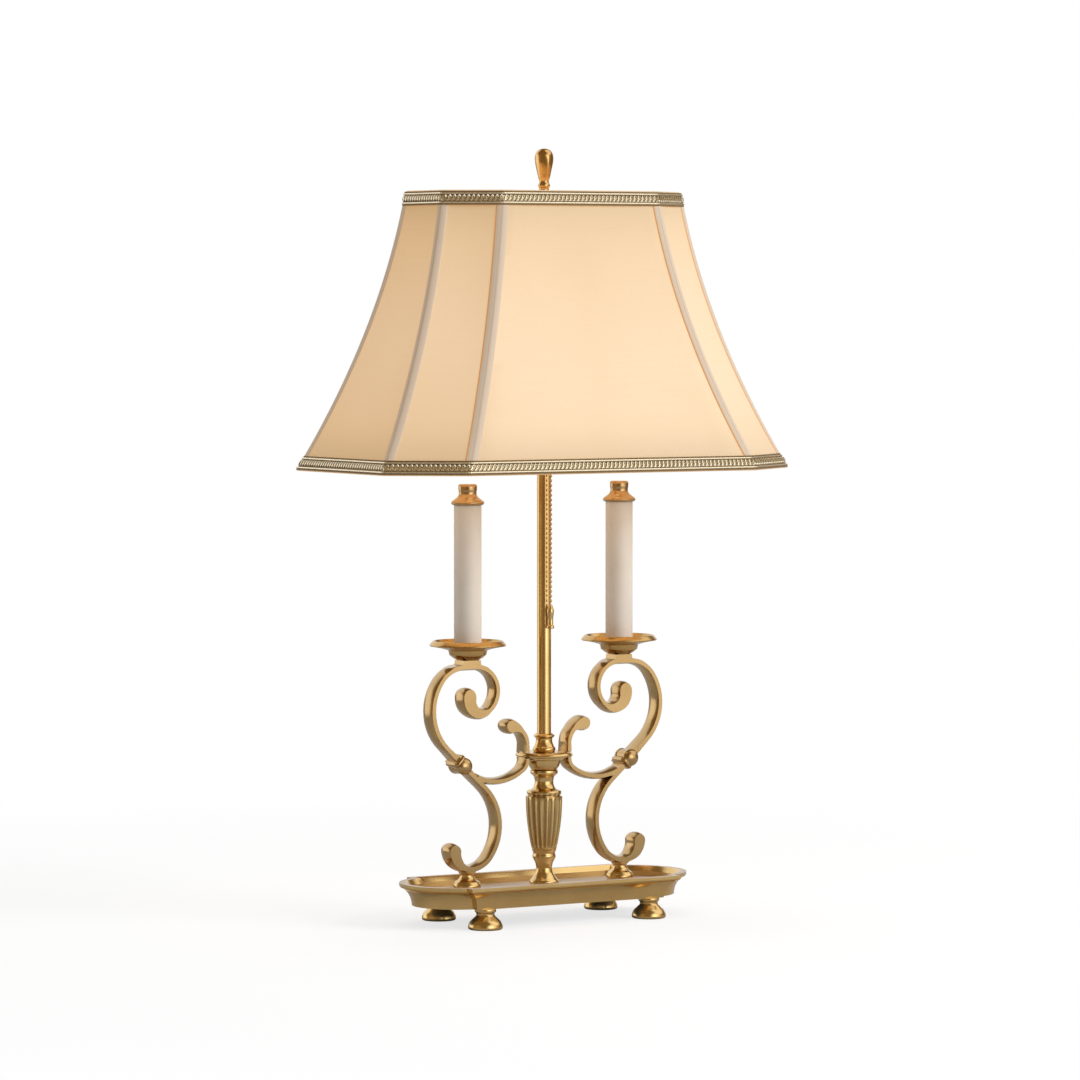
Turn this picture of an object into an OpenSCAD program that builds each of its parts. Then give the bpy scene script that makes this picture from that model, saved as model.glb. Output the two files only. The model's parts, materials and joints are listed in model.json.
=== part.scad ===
// Bouillotte lamp: tray base on four bell feet, fluted column between two scroll arms that carry
// dummy candles, a twin light cluster with a pull chain, and a cut-corner bell shade under a finial.
// Millimetres, +Z up, -Y is the front. The origin is the bottom centre, on the surface it stands on.

/* [Feet and tray] */
// Height of a bell foot
foot_h = 18; // [14:1:26]
// Radius of a bell foot at its widest
foot_r = 15.3; // [13:0.1:17]
// Radius of the collar on top of a foot
foot_collar_r = 9.4; // [8:0.1:11]
// Feet in from the ends of the straight part
foot_in_x = 23.1; // [20:0.1:32]
// Feet in from the sides of the tray
foot_in_y = 17.2; // [16:0.1:24]
// Half length of the tray's straight middle part
tray_half_x = 107.8; // [104:0.1:118]
// Half width of the tray
tray_half_y = 58.1; // [56:0.1:66]
// Radius of the round end lobes
lobe_r = 51.5; // [50:0.1:54]
// Centre of an end lobe in from the end of the straight part
lobe_in = 18.3; // [12:0.1:22]
// Height of the tray from its lower edge to its rim
tray_h = 20; // [18:0.5:26]
// Depth of the tray from its rim to its floor
tray_depth = 9.4; // [7:0.1:11]
// Width of the flat rim
rim_w = 5.6; // [4.5:0.1:7]
// Thickness of the tray's sheet brass
tray_wall = 1.5; // [1.2:0.1:2]
// Thickness of the steel base plate
plate_t = 2; // [1.5:0.1:3]
// Half length of the cast iron weight
weight_half_x = 62; // [45:0.5:66]
// Half width of the cast iron weight
weight_half_y = 30; // [22:0.5:32]
// Thickness of the cast iron weight
weight_t = 4; // [3:0.1:4.5]

/* [Column] */
// Radius of the column's foot
column_foot_r = 13.3; // [12:0.1:16]
// Height of the column's foot and stalk
stalk_h = 25.5; // [22:0.5:32]
// Radius of the stalk's waist
stalk_r = 7; // [6.6:0.1:8.5]
// Height of the ring between stalk and urn
waist_h = 7; // [6:0.1:9]
// Radius of the ring between stalk and urn
waist_r = 10.4; // [9.8:0.1:11]
// Height of the fluted urn
urn_h = 48; // [42:0.5:56]
// Radius of the urn at its shoulder
urn_r = 16.3; // [15.5:0.1:18]
// Radius of the urn at its foot
urn_foot_r = 10.6; // [10:0.1:11.5]
// Number of flutes round the urn
flutes = 18; // [12:1:24]
// Depth of a flute
flute_depth = 1; // [0.5:0.1:1.4]
// Radius of the neck's waist
neck_r = 8.3; // [7.5:0.1:9.5]

/* [Collar and stem] */
// Radius of the collar disc that joins the arms
disc_r = 25.7; // [25.4:0.1:28]
// Height of the collar's bowl
bowl_h = 9.6; // [8:0.1:12]
// Radius of the collar's bowl
bowl_r = 14.6; // [13:0.1:17]
// Height of the disc on the bowl
disc_h = 6.8; // [5.5:0.1:8]
// Height of the turned socket that holds the stem
socket_h = 16.6; // [14:0.1:22]
// Radius of the socket's lower ring
socket_r = 10.3; // [9.6:0.1:11.5]
// Outer diameter of the stem tube
stem_d = 12.7; // [12:0.1:14]
// Wall of the stem tube
stem_wall = 1; // [0.8:0.1:1.2]
// Outer diameter of the threaded pipe inside the column and stem
pipe_d = 9.6; // [9:0.1:9.8]
// Bore of the threaded pipe
pipe_bore = 6.4; // [5.5:0.1:7]
// Length of the stem that shows between the socket and the cluster
stem_show = 286; // [270:1:310]

/* [Scroll arms] */
// Depth of the arm bar from front to back
bar_depth = 17; // [15:0.1:18]
// Half thickness of the lower and outer curves
bar_half = 2.3; // [2:0.1:2.6]
// Half thickness of the inner curve
fork_half = 2; // [1.8:0.1:2.2]
// Where an arm's lowest point stands, from the centre
scroll_x = 79.5; // [77:0.1:82]
// Radius of the tip curve at the foot of the arm
tip_curve_r = 16.2; // [15:0.1:17.5]
// Radius of the rounded tip at the foot of the arm
tip_r = 6.6; // [6:0.1:7]
// Radius of the short curve between the foot and the lower curve
heel_r = 24.7; // [23.5:0.1:26]
// Radius of the lower curve
lower_r = 46.1; // [45:0.1:47]
// Length of the straight part with the knot
knot_run = 53; // [51:0.1:55]
// Radius of the large outer curve
outer_r = 45.5; // [44.5:0.1:46.5]
// Radius of the shoulder below the candle
shoulder_r = 28.5; // [27.5:0.1:30]
// Length of the level part under the candle
level_run = 12; // [11:0.1:14]
// Radius of the inner ring curve
ring_r = 21.8; // [21:0.1:22.5]
// Radius of the last curve before the upper tip
hook_r = 12.6; // [12.2:0.1:13]
// Radius of the rounded upper tip
upper_tip_r = 7.3; // [6.6:0.1:7.8]
// Radius of the knot's round bead, which lies across the bar
knot_r = 7.2; // [6.5:0.1:8]
// Half depth of the knot from front to back
knot_half_y = 11.3; // [10.5:0.1:12.5]
// Thickness of the narrow ring beside the knot's bead
knot_ring_t = 4.4; // [4:0.1:5.6]
// Radius of the inner curve that runs to the collar
fork_r = 44.3; // [43.5:0.1:45]
// Radius of the bend where the inner curve turns up
fork_bend_r = 11.3; // [10.5:0.1:12]
// Radius of the curl above the collar
curl_r = 17; // [16:0.1:18]
// Radius of the curl's rounded end
curl_tip_r = 6.7; // [6:0.1:7.2]
// Width of the pad under a drip pan
pad_w = 17; // [15:0.1:18]
// Height of the pad above the middle of the bar
pad_h = 6; // [5:0.1:7]
// Height of the pedestal under an arm
pedestal_h = 18.2; // [16:0.1:22]
// Radius of the pedestal's round moulding
pedestal_r = 12.4; // [11:0.1:13.5]
// Radius of the pedestal's neck
pedestal_neck_r = 6.2; // [5.6:0.1:7]

/* [Candles] */
// Radius of a drip pan at its lip
pan_r = 34.2; // [32:0.1:38]
// Radius of the raised ring inside the lip
pan_ring_r = 30.8; // [29:0.1:31.5]
// Depth of a drip pan's dish
pan_depth = 5; // [4.6:0.1:6]
// Height of the bowl under a drip pan
cup_h = 8.8; // [7:0.1:11]
// Radius of the bowl under a drip pan
cup_r = 17.4; // [16:0.1:19]
// Radius of a candle sleeve
candle_r = 12.2; // [11.5:0.1:13]
// Wall of a candle sleeve
candle_wall = 1.6; // [1.2:0.1:2]
// Height of a candle sleeve above the dish
candle_h = 124.5; // [100:0.5:126]
// Radius of the flange of a candle cap
cap_flange_r = 14.9; // [14:0.1:16]
// Radius of the barrel of a candle cap
cap_r = 8.4; // [7.5:0.1:9.5]
// Height of a candle cap above the sleeve
cap_h = 18.7; // [15:0.1:21]

/* [Light cluster] */
// Radius of the cluster body
cluster_r = 17; // [16:0.1:18]
// Height of the cluster body
cluster_h = 32; // [30:0.5:36]
// Wall of the cluster body
cluster_wall = 1.2; // [1:0.1:1.6]
// Radius of a lamp holder
holder_r = 11.5; // [10.5:0.1:13]
// Length of a lamp holder
holder_len = 25; // [24:0.5:27]
// Radius of a bulb's screw base
bulb_base_r = 5.9; // [5.5:0.05:6.2]
// Length of a bulb's screw base
bulb_base_len = 19; // [17:0.5:20]
// Radius of a bulb's glass globe
bulb_r = 18; // [15:0.5:18.5]
// Diameter of the rod that carries the shade
shade_rod_d = 6.3; // [5.8:0.1:6.6]
// Where the pull chain hangs, in front of the stem
chain_y = 11; // [10.6:0.1:11.6]
// Diameter of a chain bead
bead_d = 3.1; // [2.8:0.1:3.3]
// Distance from one chain bead to the next
bead_pitch = 4.27; // [4:0.01:4.6]
// Number of beads that hang below the cluster
chain_beads = 38; // [30:1:42]
// Length of the turned end on the chain
pull_h = 21.4; // [18:0.1:24]
// Largest radius of the turned end on the chain
pull_r = 3.4; // [3:0.1:3.8]
// Radius of the switch drum
drum_r = 4; // [3.6:0.1:4.2]

/* [Shade] */
// Half length of the shade at the bottom
shade_bottom_x = 208; // [190:1:220]
// Half width of the shade at the bottom
shade_bottom_y = 120.5; // [110:0.5:130]
// Half length of the shade at the top
shade_top_x = 122.7; // [105:0.5:130]
// Half width of the shade at the top
shade_top_y = 61.8; // [58:0.5:70]
// Length of the cut corner along the shade at the bottom
cut_bottom_x = 60.9; // [50:0.5:66]
// Length of the cut corner across the shade at the bottom
cut_bottom_y = 42.9; // [36:0.5:48]
// Length of the cut corner along the shade at the top
cut_top_x = 44.6; // [38:0.5:48]
// Length of the cut corner across the shade at the top
cut_top_y = 28.9; // [24:0.5:32]
// Height of the shade
shade_h = 244.8; // [236:0.5:252]
// Height of the shade's lower edge above the candle caps
shade_gap = 12.6; // [6:0.1:24]
// How sharply the sides flare, where 0 is straight
shade_flare = 0.53; // [0.3:0.01:0.7]
// Thickness of the silk and its backing
cover_t = 1; // [0.8:0.1:1.4]
// Diameter of the shade's frame wire
wire_d = 2.6; // [2.2:0.1:3]
// Thickness of the inner lining
lining_t = 0.8; // [0.6:0.1:1]
// Width of the woven trim at the top and bottom edges
trim_w = 13.6; // [11:0.1:16]
// Thickness of the woven trim
trim_t = 1.4; // [1:0.1:1.8]
// Width of the tape over each rib, on each side of the corner
tape_w = 4.2; // [3:0.1:5.5]
// How far the spider washer lies below the shade's top edge
spider_drop = 3; // [2:0.1:6]
// Height of the finial
finial_h = 40.4; // [36:0.1:46]
// Radius of the finial at its widest
finial_r = 8.4; // [7.6:0.1:9.6]

/* [Hidden] */
$fn = 64;

// Fits
fit = 0.06; // radial clearance of what turns or slides in a bore
seat = 0.3; // gap between cloth, wire and what they lie on
loose = 0.5; // radial clearance of a bolt in a hole
eps = 0.01;

// Heights of the stack, from the surface up
foot_x = tray_half_x - foot_in_x;
foot_y = tray_half_y - foot_in_y;
lobe_x = tray_half_x - lobe_in;
rim_z = foot_h + tray_h;
floor_z = rim_z - tray_depth;
plate_z = foot_h;
weight_z = plate_z + plate_t;
column_z = floor_z;
urn_z = column_z + stalk_h + waist_h;
neck_z = urn_z + urn_h;

// Fasteners
bolt_d = 4;
bolt_head_d = 8;
bolt_head_h = 3;
nut_w = 16;
nut_h = 3.5;
washer_t = 1.2;
washer_r = 9.4;
foot_bolt_depth = 9;
arm_bolt_up = 2.6; // how far an arm's bolt enters the casting
stem_grip = 8; // how far the stem stands in its socket
pipe_up = 6; // how far the pipe stands in the cluster
finial_grip = 9; // how far the rod stands in the finial
cap_plug = 4; // how far a cap reaches into its sleeve

// Tray and cord inlet
apron_in = 11.2; // inset of the apron's lower edge from the rim
bead_in = 3.6; // inset of the bead below the lip
ridge_in = rim_w + 3; // inset of the low ridge half way down the inner wall
lip_h = 3.8;
weight_bore_r = 12;
weight_slot = 9; // channel for the leads
cord_hole_r = 2.8;
cord_flange = 1.4;
bushing_wall = 0.75;
flange_t = 1.2;
flange_seat = 0.2; // how far outside the apron's lower edge the flange seats
bushing_len = tray_wall + 3.4;
bushing_z = plate_z + plate_t + cord_hole_r + bushing_wall + 0.3;
pipe_low = floor_z - tray_wall - washer_t - nut_h;
pipe_washer_z = floor_z - tray_wall - washer_t;

// Column: the urn's side is an arc, and the flutes follow it
urn_arc_r = (urn_h * urn_h + pow(urn_r - urn_foot_r, 2)) / (2 * (urn_r - urn_foot_r));
flute_sweep = asin(urn_h / urn_arc_r) - 1;
flute_r = PI * urn_r / flutes * 0.92;

// Path of an arm, in the plane of its front: a list of [length, turn, half width, half width]
turn_step = 7;
heel_turn = 52.6;
lower_turn = 84;
outer_turn = 81.6;
shoulder_turn = 55;
ring_turn = 142;
hook_turn = 128;
tip_rise = 2.4;
pad_back = 7.4; // centre of the pad behind the end of the shoulder
fork_start = 13; // where the inner curve leaves the straight part
fork_rise = 1.8;
fork_heading = 207;
fork_turn = 64;
bend_turn = fork_heading - fork_turn - 90;
curl_turn = 82;
tenon_half = 1.1;
tenon_half_y = 4.5;
tenon_h = 4;
disc_under = 2.7; // height of the ledge under the disc's rim
fork_post = 1.55; // how far the inner curve rises upright below the disc's rim
curl_rise = 7.5;
curl_run = 1;
foot_flat = 5; // half length of the flat under an arm, where it stands on its pedestal

function arc(r, turn, w0, w1) = [r * abs(turn) * PI / 180, turn, w0, w1];
function line(length, w0, w1) = [length, 0, w0, w1];
function dir(a) = [cos(a), sin(a)];

// Place, heading and half width at a share t of a step that starts at p with heading h
function station(p, h, s, t) =
    let (side = sign(s[1]), r = s[1] == 0 ? 0 : s[0] / (abs(s[1]) * PI / 180),
         at = s[1] == 0 ? p + t * s[0] * dir(h)
                        : p + r * dir(h + 90 * side) + r * dir(h - 90 * side + t * s[1]))
    [at[0], at[1], h + t * s[1], s[2] + (s[3] - s[2]) * t];

function trail(steps, p, h, i = 0) =
    i == len(steps) ? [] :
    let (s = steps[i], n = max(1, ceil(abs(s[1]) / turn_step)), last = station(p, h, s, 1),
         rest = trail(steps, [last[0], last[1]], last[2], i + 1))
    concat([for (k = [0 : n - 1]) station(p, h, s, k / n)], len(rest) == 0 ? [last] : rest);

function edge(st, side) = [st[0], st[1]] + side * st[3] * dir(st[2] + 90);
function round_end(st) = [for (a = [75 : -15 : -75]) [st[0], st[1]] + st[3] * dir(st[2] + a)];

// Closed outline of a bar that follows stations, with round ends where asked
function bar_outline(sts, round_first, round_last) =
    let (n = len(sts), first = sts[0], last = sts[n - 1])
    concat(
        [for (k = [0 : n - 1]) edge(sts[k], 1)],
        round_last ? round_end(last) : [],
        [for (k = [n - 1 : -1 : 0]) edge(sts[k], -1)],
        round_first ? round_end([first[0], first[1], first[2] + 180, first[3]]) : []
    );

scroll_z = floor_z + pedestal_h + bar_half + 0.2;
tip_steps = [
    arc(tip_curve_r, -38, tip_r, 5.2), arc(tip_curve_r, -27, 5.2, 3.2),
    arc(tip_curve_r, -25, 3.2, bar_half + 0.2)
];
main_steps = [
    arc(heel_r, -heel_turn, bar_half + 0.2, bar_half), arc(lower_r, -lower_turn, bar_half, bar_half),
    line(knot_run, bar_half, bar_half), arc(outer_r, outer_turn, bar_half, bar_half - 0.1),
    arc(shoulder_r, shoulder_turn, bar_half - 0.1, bar_half - 0.1),
    line(level_run, bar_half - 0.1, bar_half - 0.1),
    arc(ring_r, ring_turn, bar_half - 0.1, bar_half - 0.1),
    arc(hook_r, hook_turn * 0.3, bar_half - 0.1, 4.7), arc(hook_r, hook_turn * 0.4, 4.7, 6.5),
    arc(hook_r, hook_turn * 0.3, 6.5, upper_tip_r), line(tip_rise, upper_tip_r, upper_tip_r)
];
tip_start = [scroll_x + tip_curve_r, scroll_z + tip_curve_r];
lower_stations = trail(concat(tip_steps, main_steps), tip_start, 270);
function after(steps, p, h, count) =
    count == 0 ? [p[0], p[1], h] :
    let (s = steps[0], e = station(p, h, s, 1))
    after([for (k = [1 : 1 : len(steps) - 1]) steps[k]], [e[0], e[1]], e[2], count - 1);
run_start = after(main_steps, [scroll_x, scroll_z], 180, 2);
run_dir = dir(run_start[2]);
knot_at = [run_start[0], run_start[1]] + run_dir * knot_run * 0.56;
level_start = after(main_steps, [scroll_x, scroll_z], 180, 5);
candle_x = level_start[0] - pad_back;
bar_top_z = level_start[1];
pad_z = bar_top_z + pad_h;
fork_from = [run_start[0], run_start[1]] + run_dir * fork_start
    + fork_rise * dir(run_start[2] + 90);
fork_steps = [
    arc(fork_r, -fork_turn, fork_half + 0.3, fork_half), arc(fork_bend_r, -bend_turn, fork_half, fork_half)
];
bend_end = after(fork_steps, fork_from, fork_heading, 2);
slot_x = bend_end[0];
fork_stations = trail(concat(fork_steps, [line(fork_post, fork_half, fork_half)]), fork_from, fork_heading);

// The collar meets the ends of the arms' inner curves, and the column's neck fills the rest
disc_z = bend_end[1] + fork_post - disc_under;
collar_z = disc_z - bowl_h;
neck_h = collar_z - neck_z;
disc_top = disc_z + disc_h;
socket_top = disc_top + socket_h;
cluster_z = socket_top + stem_show;
cluster_top = cluster_z + cluster_h;
light_z = cluster_z + cluster_h / 2;
curl_steps = [
    line(curl_rise, fork_half, fork_half), arc(curl_r, -45, fork_half, 2.4),
    arc(curl_r, 45 - curl_turn, 2.4, curl_tip_r), line(curl_run, curl_tip_r, curl_tip_r)
];

ledge_r = slot_x - fork_half - seat;

// Candle stack
pan_z = pad_z + cup_h;
dish_z = pan_z + 3.4;
candle_top = dish_z + candle_h;
cap_top = candle_top + cap_h;

// Shade
shade_z = cap_top + shade_gap;
shade_top_z = shade_z + shade_h;
levels = 10;
washer_z = shade_top_z - spider_drop;
spider_t = 1.6;
finial_z = washer_z + spider_t;
shade_arm_r = 11;
trim_share = trim_w / shade_h;
wire_in = cover_t + seat + wire_d / 2;
lining_in = cover_t + 2 * seat + wire_d;
lining_low = 0.01; // share of the height where the lining starts, and where it ends below the spider
lining_high = 0.97;
wire_edge = (wire_d / 2 + 0.4) / shade_h;
tape_t = 0.5;
tape_gap = seat / shade_h;

// Cluster and chain
holder_x = cluster_r + 1;
holder_end = holder_x + holder_len;
drum_z = light_z - 1;
drum_y = -chain_y + drum_r + bead_d / 2 + 0.4;
bushing_h = 6;
bushing_r = 3.2;
chain_top = cluster_z - bushing_h - 3.4;
chain_low = chain_top - chain_beads * bead_pitch;
pipe_top = cluster_z + pipe_up;
lead_r = 1;
lead_x = 1.3;
lead_y = 1.7;
lead_z = weight_z + lead_r + 0.2;
link_r = 0.5;
link_beads = floor((drum_z - chain_top) / bead_pitch);
nipple_r = 4.8;
cluster_floor = 2.4;
cap_dome = 5;
drum_w = 5;
axle_r = 1.2;
frame_w = drum_w + 1;
frame_low = cluster_z + pipe_up + 0.6;
frame_mid = (frame_low + cluster_top) / 2;
bulb_gap = 1.4;
bulb_mid = bulb_gap + bulb_r + 2.6;

// Turned and repeated shapes
module turned(points) rotate_extrude() polygon(points);
module at_side(side, x, z = 0) translate([side * x, 0, z]) children();
module flat_bar(points, depth)
    rotate([90, 0, 0]) linear_extrude(depth, center = true) polygon(points);
module mirrored(side) mirror([side < 0 ? 1 : 0, 0, 0]) children();

// Feet
module foot(sx, sy)
    color("#a5793a") translate([sx * foot_x, sy * foot_y, 0]) difference() {
        turned([
            [0, 0], [foot_r - 1.4, 0], [foot_r - 0.3, 0.6], [foot_r, 2], [foot_r - 0.5, foot_h * 0.26],
            [foot_r - 2, foot_h * 0.42], [foot_r - 4.2, foot_h * 0.53], [foot_collar_r - 0.9, foot_h * 0.66],
            [foot_collar_r - 1.5, foot_h * 0.74], [foot_collar_r - 1.1, foot_h * 0.82],
            [foot_collar_r, foot_h * 0.87], [foot_collar_r, foot_h], [0, foot_h]
        ]);
        translate([0, 0, foot_h - foot_bolt_depth]) cylinder(d = bolt_d, h = foot_bolt_depth + 1);
    }
module foot_screws()
    color("#8d8d88") for (sx = [-1, 1], sy = [-1, 1]) translate([sx * foot_x, sy * foot_y, 0]) {
        translate([0, 0, foot_h - foot_bolt_depth + 1])
            cylinder(d = bolt_d, h = foot_bolt_depth - 1 + plate_t);
        translate([0, 0, weight_z]) cylinder(d = bolt_head_d, h = bolt_head_h);
    }

// Tray: every wall is an outline of a rectangle and two lobes, moved in by an inset at each height
module tray_form(profile) {
    zs = [for (p = profile) p[1]];
    intersection() {
        rotate([90, 0, 0]) linear_extrude(4 * tray_half_y, center = true)
            polygon(concat([for (p = profile) [tray_half_x - p[0], p[1]]],
                [for (k = [len(profile) - 1 : -1 : 0]) [profile[k][0] - tray_half_x, profile[k][1]]]));
        rotate([90, 0, 90]) linear_extrude(4 * tray_half_x, center = true)
            polygon(concat([for (p = profile) [tray_half_y - p[0], p[1]]],
                [for (k = [len(profile) - 1 : -1 : 0]) [profile[k][0] - tray_half_y, profile[k][1]]]));
    }
    for (side = [-1, 1]) at_side(side, lobe_x)
        turned(concat([[0, zs[0]]], [for (p = profile) [lobe_r - p[0], p[1]]], [[0, zs[len(zs) - 1]]]));
}
outer_profile = [
    [apron_in, plate_z], [apron_in - 0.4, plate_z + 3.4], [apron_in - 1.6, plate_z + 7.4],
    [apron_in - 3.4, plate_z + 10.6], [bead_in + 1.6, rim_z - 6.3], [bead_in, rim_z - 5.4],
    [bead_in + 0.6, rim_z - lip_h], [0.9, rim_z - lip_h], [0, rim_z - 2.6], [0, rim_z]
];
inner_profile = [
    [ridge_in - 0.6, floor_z], [ridge_in, rim_z - tray_depth / 2], [rim_w + 0.7, rim_z - 0.8],
    [rim_w, rim_z], [rim_w, rim_z + 1]
];
hollow_profile = [
    [apron_in + tray_wall, plate_z - 1], [apron_in + tray_wall, floor_z - tray_wall]
];
plate_profile = [
    [apron_in + tray_wall + 0.2, plate_z], [apron_in + tray_wall + 0.2, plate_z + plate_t]
];
module tray()
    color("#b98d4c") difference() {
        tray_form(outer_profile);
        tray_form(inner_profile);
        tray_form(hollow_profile);
        translate([0, 0, floor_z - tray_wall - 1]) cylinder(d = pipe_d + 2 * loose, h = tray_wall + 2);
        for (side = [-1, 1]) at_side(side, scroll_x, floor_z - tray_wall - 1)
            cylinder(d = bolt_d + 2 * loose, h = tray_wall + 2);
        at_inlet(2) cylinder(r = cord_hole_r + bushing_wall + 0.05, h = tray_wall + 8);
        at_inlet(8) cylinder(r = cord_hole_r + cord_flange + 0.15, h = 8 - flange_seat);
    }
// Along the cord inlet's axis, inwards from a point this far outside the apron's lower edge
module at_inlet(out)
    translate([0, tray_half_y - apron_in + out, bushing_z]) rotate([90, 0, 0]) children();
module base_plate()
    color("#6f6f6c") difference() {
        tray_form(plate_profile);
        for (sx = [-1, 1], sy = [-1, 1]) translate([sx * foot_x, sy * foot_y, plate_z - 1])
            cylinder(d = bolt_d, h = plate_t + 2);
        for (side = [-1, 1]) at_side(side, scroll_x, plate_z - 1) cylinder(d = bolt_head_d + 2, h = plate_t + 2);
    }
module base_weight()
    color("#4c4b49") difference() {
        translate([-weight_half_x, -weight_half_y, weight_z])
            cube([2 * weight_half_x, 2 * weight_half_y, weight_t]);
        translate([0, 0, weight_z - 1]) cylinder(r = weight_bore_r, h = weight_t + 2);
        translate([-weight_slot / 2, 0, weight_z - 1]) cube([weight_slot, weight_half_y + 1, weight_t + 2]);
    }
module cord_bushing()
    color("#2b2725") at_inlet(flange_seat + flange_t) difference() {
        union() {
            cylinder(r = cord_hole_r + cord_flange, h = flange_t);
            cylinder(r = cord_hole_r + bushing_wall, h = bushing_len);
        }
        translate([0, 0, -1]) cylinder(r = cord_hole_r, h = bushing_len + 2);
    }

// Pipe through the middle, with its washer and nut under the tray's floor
module threaded_pipe()
    color("#a8884f") translate([0, 0, pipe_low]) difference() {
        cylinder(d = pipe_d, h = pipe_top - pipe_low);
        translate([0, 0, -1]) cylinder(d = pipe_bore, h = pipe_top - pipe_low + 2);
    }
module pipe_washer()
    color("#8d8d88") translate([0, 0, pipe_washer_z]) difference() {
        cylinder(r = washer_r, h = washer_t);
        translate([0, 0, -1]) cylinder(d = pipe_d + 2 * loose, h = washer_t + 2);
    }
module pipe_nut()
    color("#a8884f") translate([0, 0, pipe_washer_z - nut_h]) difference() {
        cylinder(d = nut_w, h = nut_h, $fn = 6);
        translate([0, 0, -1]) cylinder(d = pipe_d, h = nut_h + 2);
    }
module lead_wires()
    color("#d9d2c0") for (side = [-1, 1]) translate([side * lead_x, lead_y, 0]) {
        translate([0, 0, lead_z]) cylinder(r = lead_r, h = light_z - lead_z);
        translate([0, 0, lead_z]) sphere(r = lead_r);
        translate([0, 0, light_z]) sphere(r = lead_r);
        translate([0, 0, lead_z]) rotate([-90, 0, 0])
            cylinder(r = lead_r, h = tray_half_y - apron_in - tray_wall - 3 - lead_y);
        translate([0, 0, light_z]) rotate([0, side * 90, 0]) cylinder(r = lead_r, h = holder_x + 1.5 - lead_x);
    }

// Column, in turned stages from the floor up
function urn_radius(z) = urn_r - urn_arc_r + sqrt(urn_arc_r * urn_arc_r - pow(urn_h - z, 2));
function stage(z, pairs) = [for (p = pairs) [p[0], z + p[1]]];
module column()
    color("#b28542") difference() {
        turned(concat(
            stage(column_z, [
                [0, 0], [column_foot_r - 0.6, 0], [column_foot_r - 0.6, 3], [column_foot_r, 4.4],
                [column_foot_r - 0.4, 6], [stalk_r + 3.6, stalk_h * 0.34], [stalk_r + 1, stalk_h * 0.5],
                [stalk_r, stalk_h * 0.68], [stalk_r + 0.9, stalk_h * 0.86], [waist_r - 0.6, stalk_h]
            ]),
            stage(column_z + stalk_h, [
                [waist_r, waist_h * 0.2], [waist_r, waist_h * 0.42], [waist_r - 0.5, waist_h * 0.62],
                [waist_r - 0.5, waist_h * 0.86]
            ]),
            [for (k = [0 : 8]) [urn_radius(urn_h * k / 8), urn_z + urn_h * k / 8]],
            stage(neck_z, [
                [urn_r, neck_h * 0.04], [urn_r - 1.9, neck_h * 0.06], [urn_r - 1.9, neck_h * 0.09],
                [urn_r - 0.9, neck_h * 0.125], [urn_r - 1, neck_h * 0.16], [urn_r - 0.6, neck_h * 0.19],
                [urn_r - 1.2, neck_h * 0.25], [neck_r + 3, neck_h * 0.3], [neck_r + 1.3, neck_h * 0.375],
                [neck_r + 0.2, neck_h * 0.5], [neck_r, neck_h * 0.62], [neck_r + 0.9, neck_h * 0.76],
                [neck_r + 2.6, neck_h * 0.84], [neck_r + 4, neck_h * 0.89], [neck_r + 4, neck_h], [0, neck_h]
            ])
        ));
        translate([0, 0, column_z - 1]) cylinder(d = pipe_d + 2 * loose, h = collar_z - column_z + 2);
        for (k = [0 : flutes - 1]) rotate([0, 0, k * 360 / flutes])
            translate([urn_r - urn_arc_r, 0, neck_z]) rotate([90, 0, 0])
                rotate([0, 0, -flute_sweep]) rotate_extrude(angle = flute_sweep)
                    translate([urn_arc_r + flute_r - flute_depth, 0]) circle(r = flute_r);
    }

// Collar: a bowl and a moulded disc that the arms' tenons pass through
module collar()
    color("#b58844") difference() {
        turned(concat(
            stage(collar_z, [
                [0, 0], [bowl_r - 3.6, 0], [bowl_r - 1.2, bowl_h * 0.36], [bowl_r, bowl_h * 0.8], [bowl_r, bowl_h]
            ]),
            stage(disc_z, [
                [ledge_r - 1.2, 0], [ledge_r, 0.8], [ledge_r, disc_under], [disc_r - 1.6, disc_under],
                [disc_r - 0.3, disc_under + 0.8], [disc_r, disc_under + 1.9], [disc_r - 0.7, disc_h - 0.8],
                [disc_r - 1.9, disc_h], [0, disc_h]
            ])
        ));
        translate([0, 0, collar_z - 1]) cylinder(d = pipe_d + 2 * loose, h = bowl_h + disc_h + 2);
        for (side = [-1, 1]) at_side(side, slot_x, disc_z + disc_h / 2)
            cube([2 * tenon_half + 0.2, 2 * tenon_half_y + 0.2, disc_h + 2], center = true);
    }
module stem_socket()
    color("#b98b45") difference() {
        turned(stage(disc_top, [
            [0, 0], [socket_r - 0.8, 0], [socket_r - 0.8, 1], [socket_r, 2.2], [socket_r - 0.3, 3.8],
            [socket_r - 1.4, 5], [stem_d / 2 + 1.6, 7.4], [stem_d / 2 + 1, 9.4],
            [stem_d / 2 + 1, socket_h - 4.4], [stem_d / 2 + 1.9, socket_h - 3.6],
            [stem_d / 2 + 3, socket_h - 2.6], [stem_d / 2 + 3, socket_h - 1.6],
            [stem_d / 2 + 2, socket_h - 0.8], [stem_d / 2 + 1, socket_h], [0, socket_h]
        ]));
        translate([0, 0, disc_top - 1]) cylinder(d = pipe_d + 2 * loose, h = socket_h + 2);
        translate([0, 0, socket_top - stem_grip]) cylinder(d = stem_d, h = stem_grip + 1);
    }
module stem_tube()
    color("#b98d4c") translate([0, 0, socket_top - stem_grip]) difference() {
        cylinder(d = stem_d, h = stem_grip + stem_show);
        translate([0, 0, -1]) cylinder(d = stem_d - 2 * stem_wall, h = stem_grip + stem_show + 2);
    }

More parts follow.
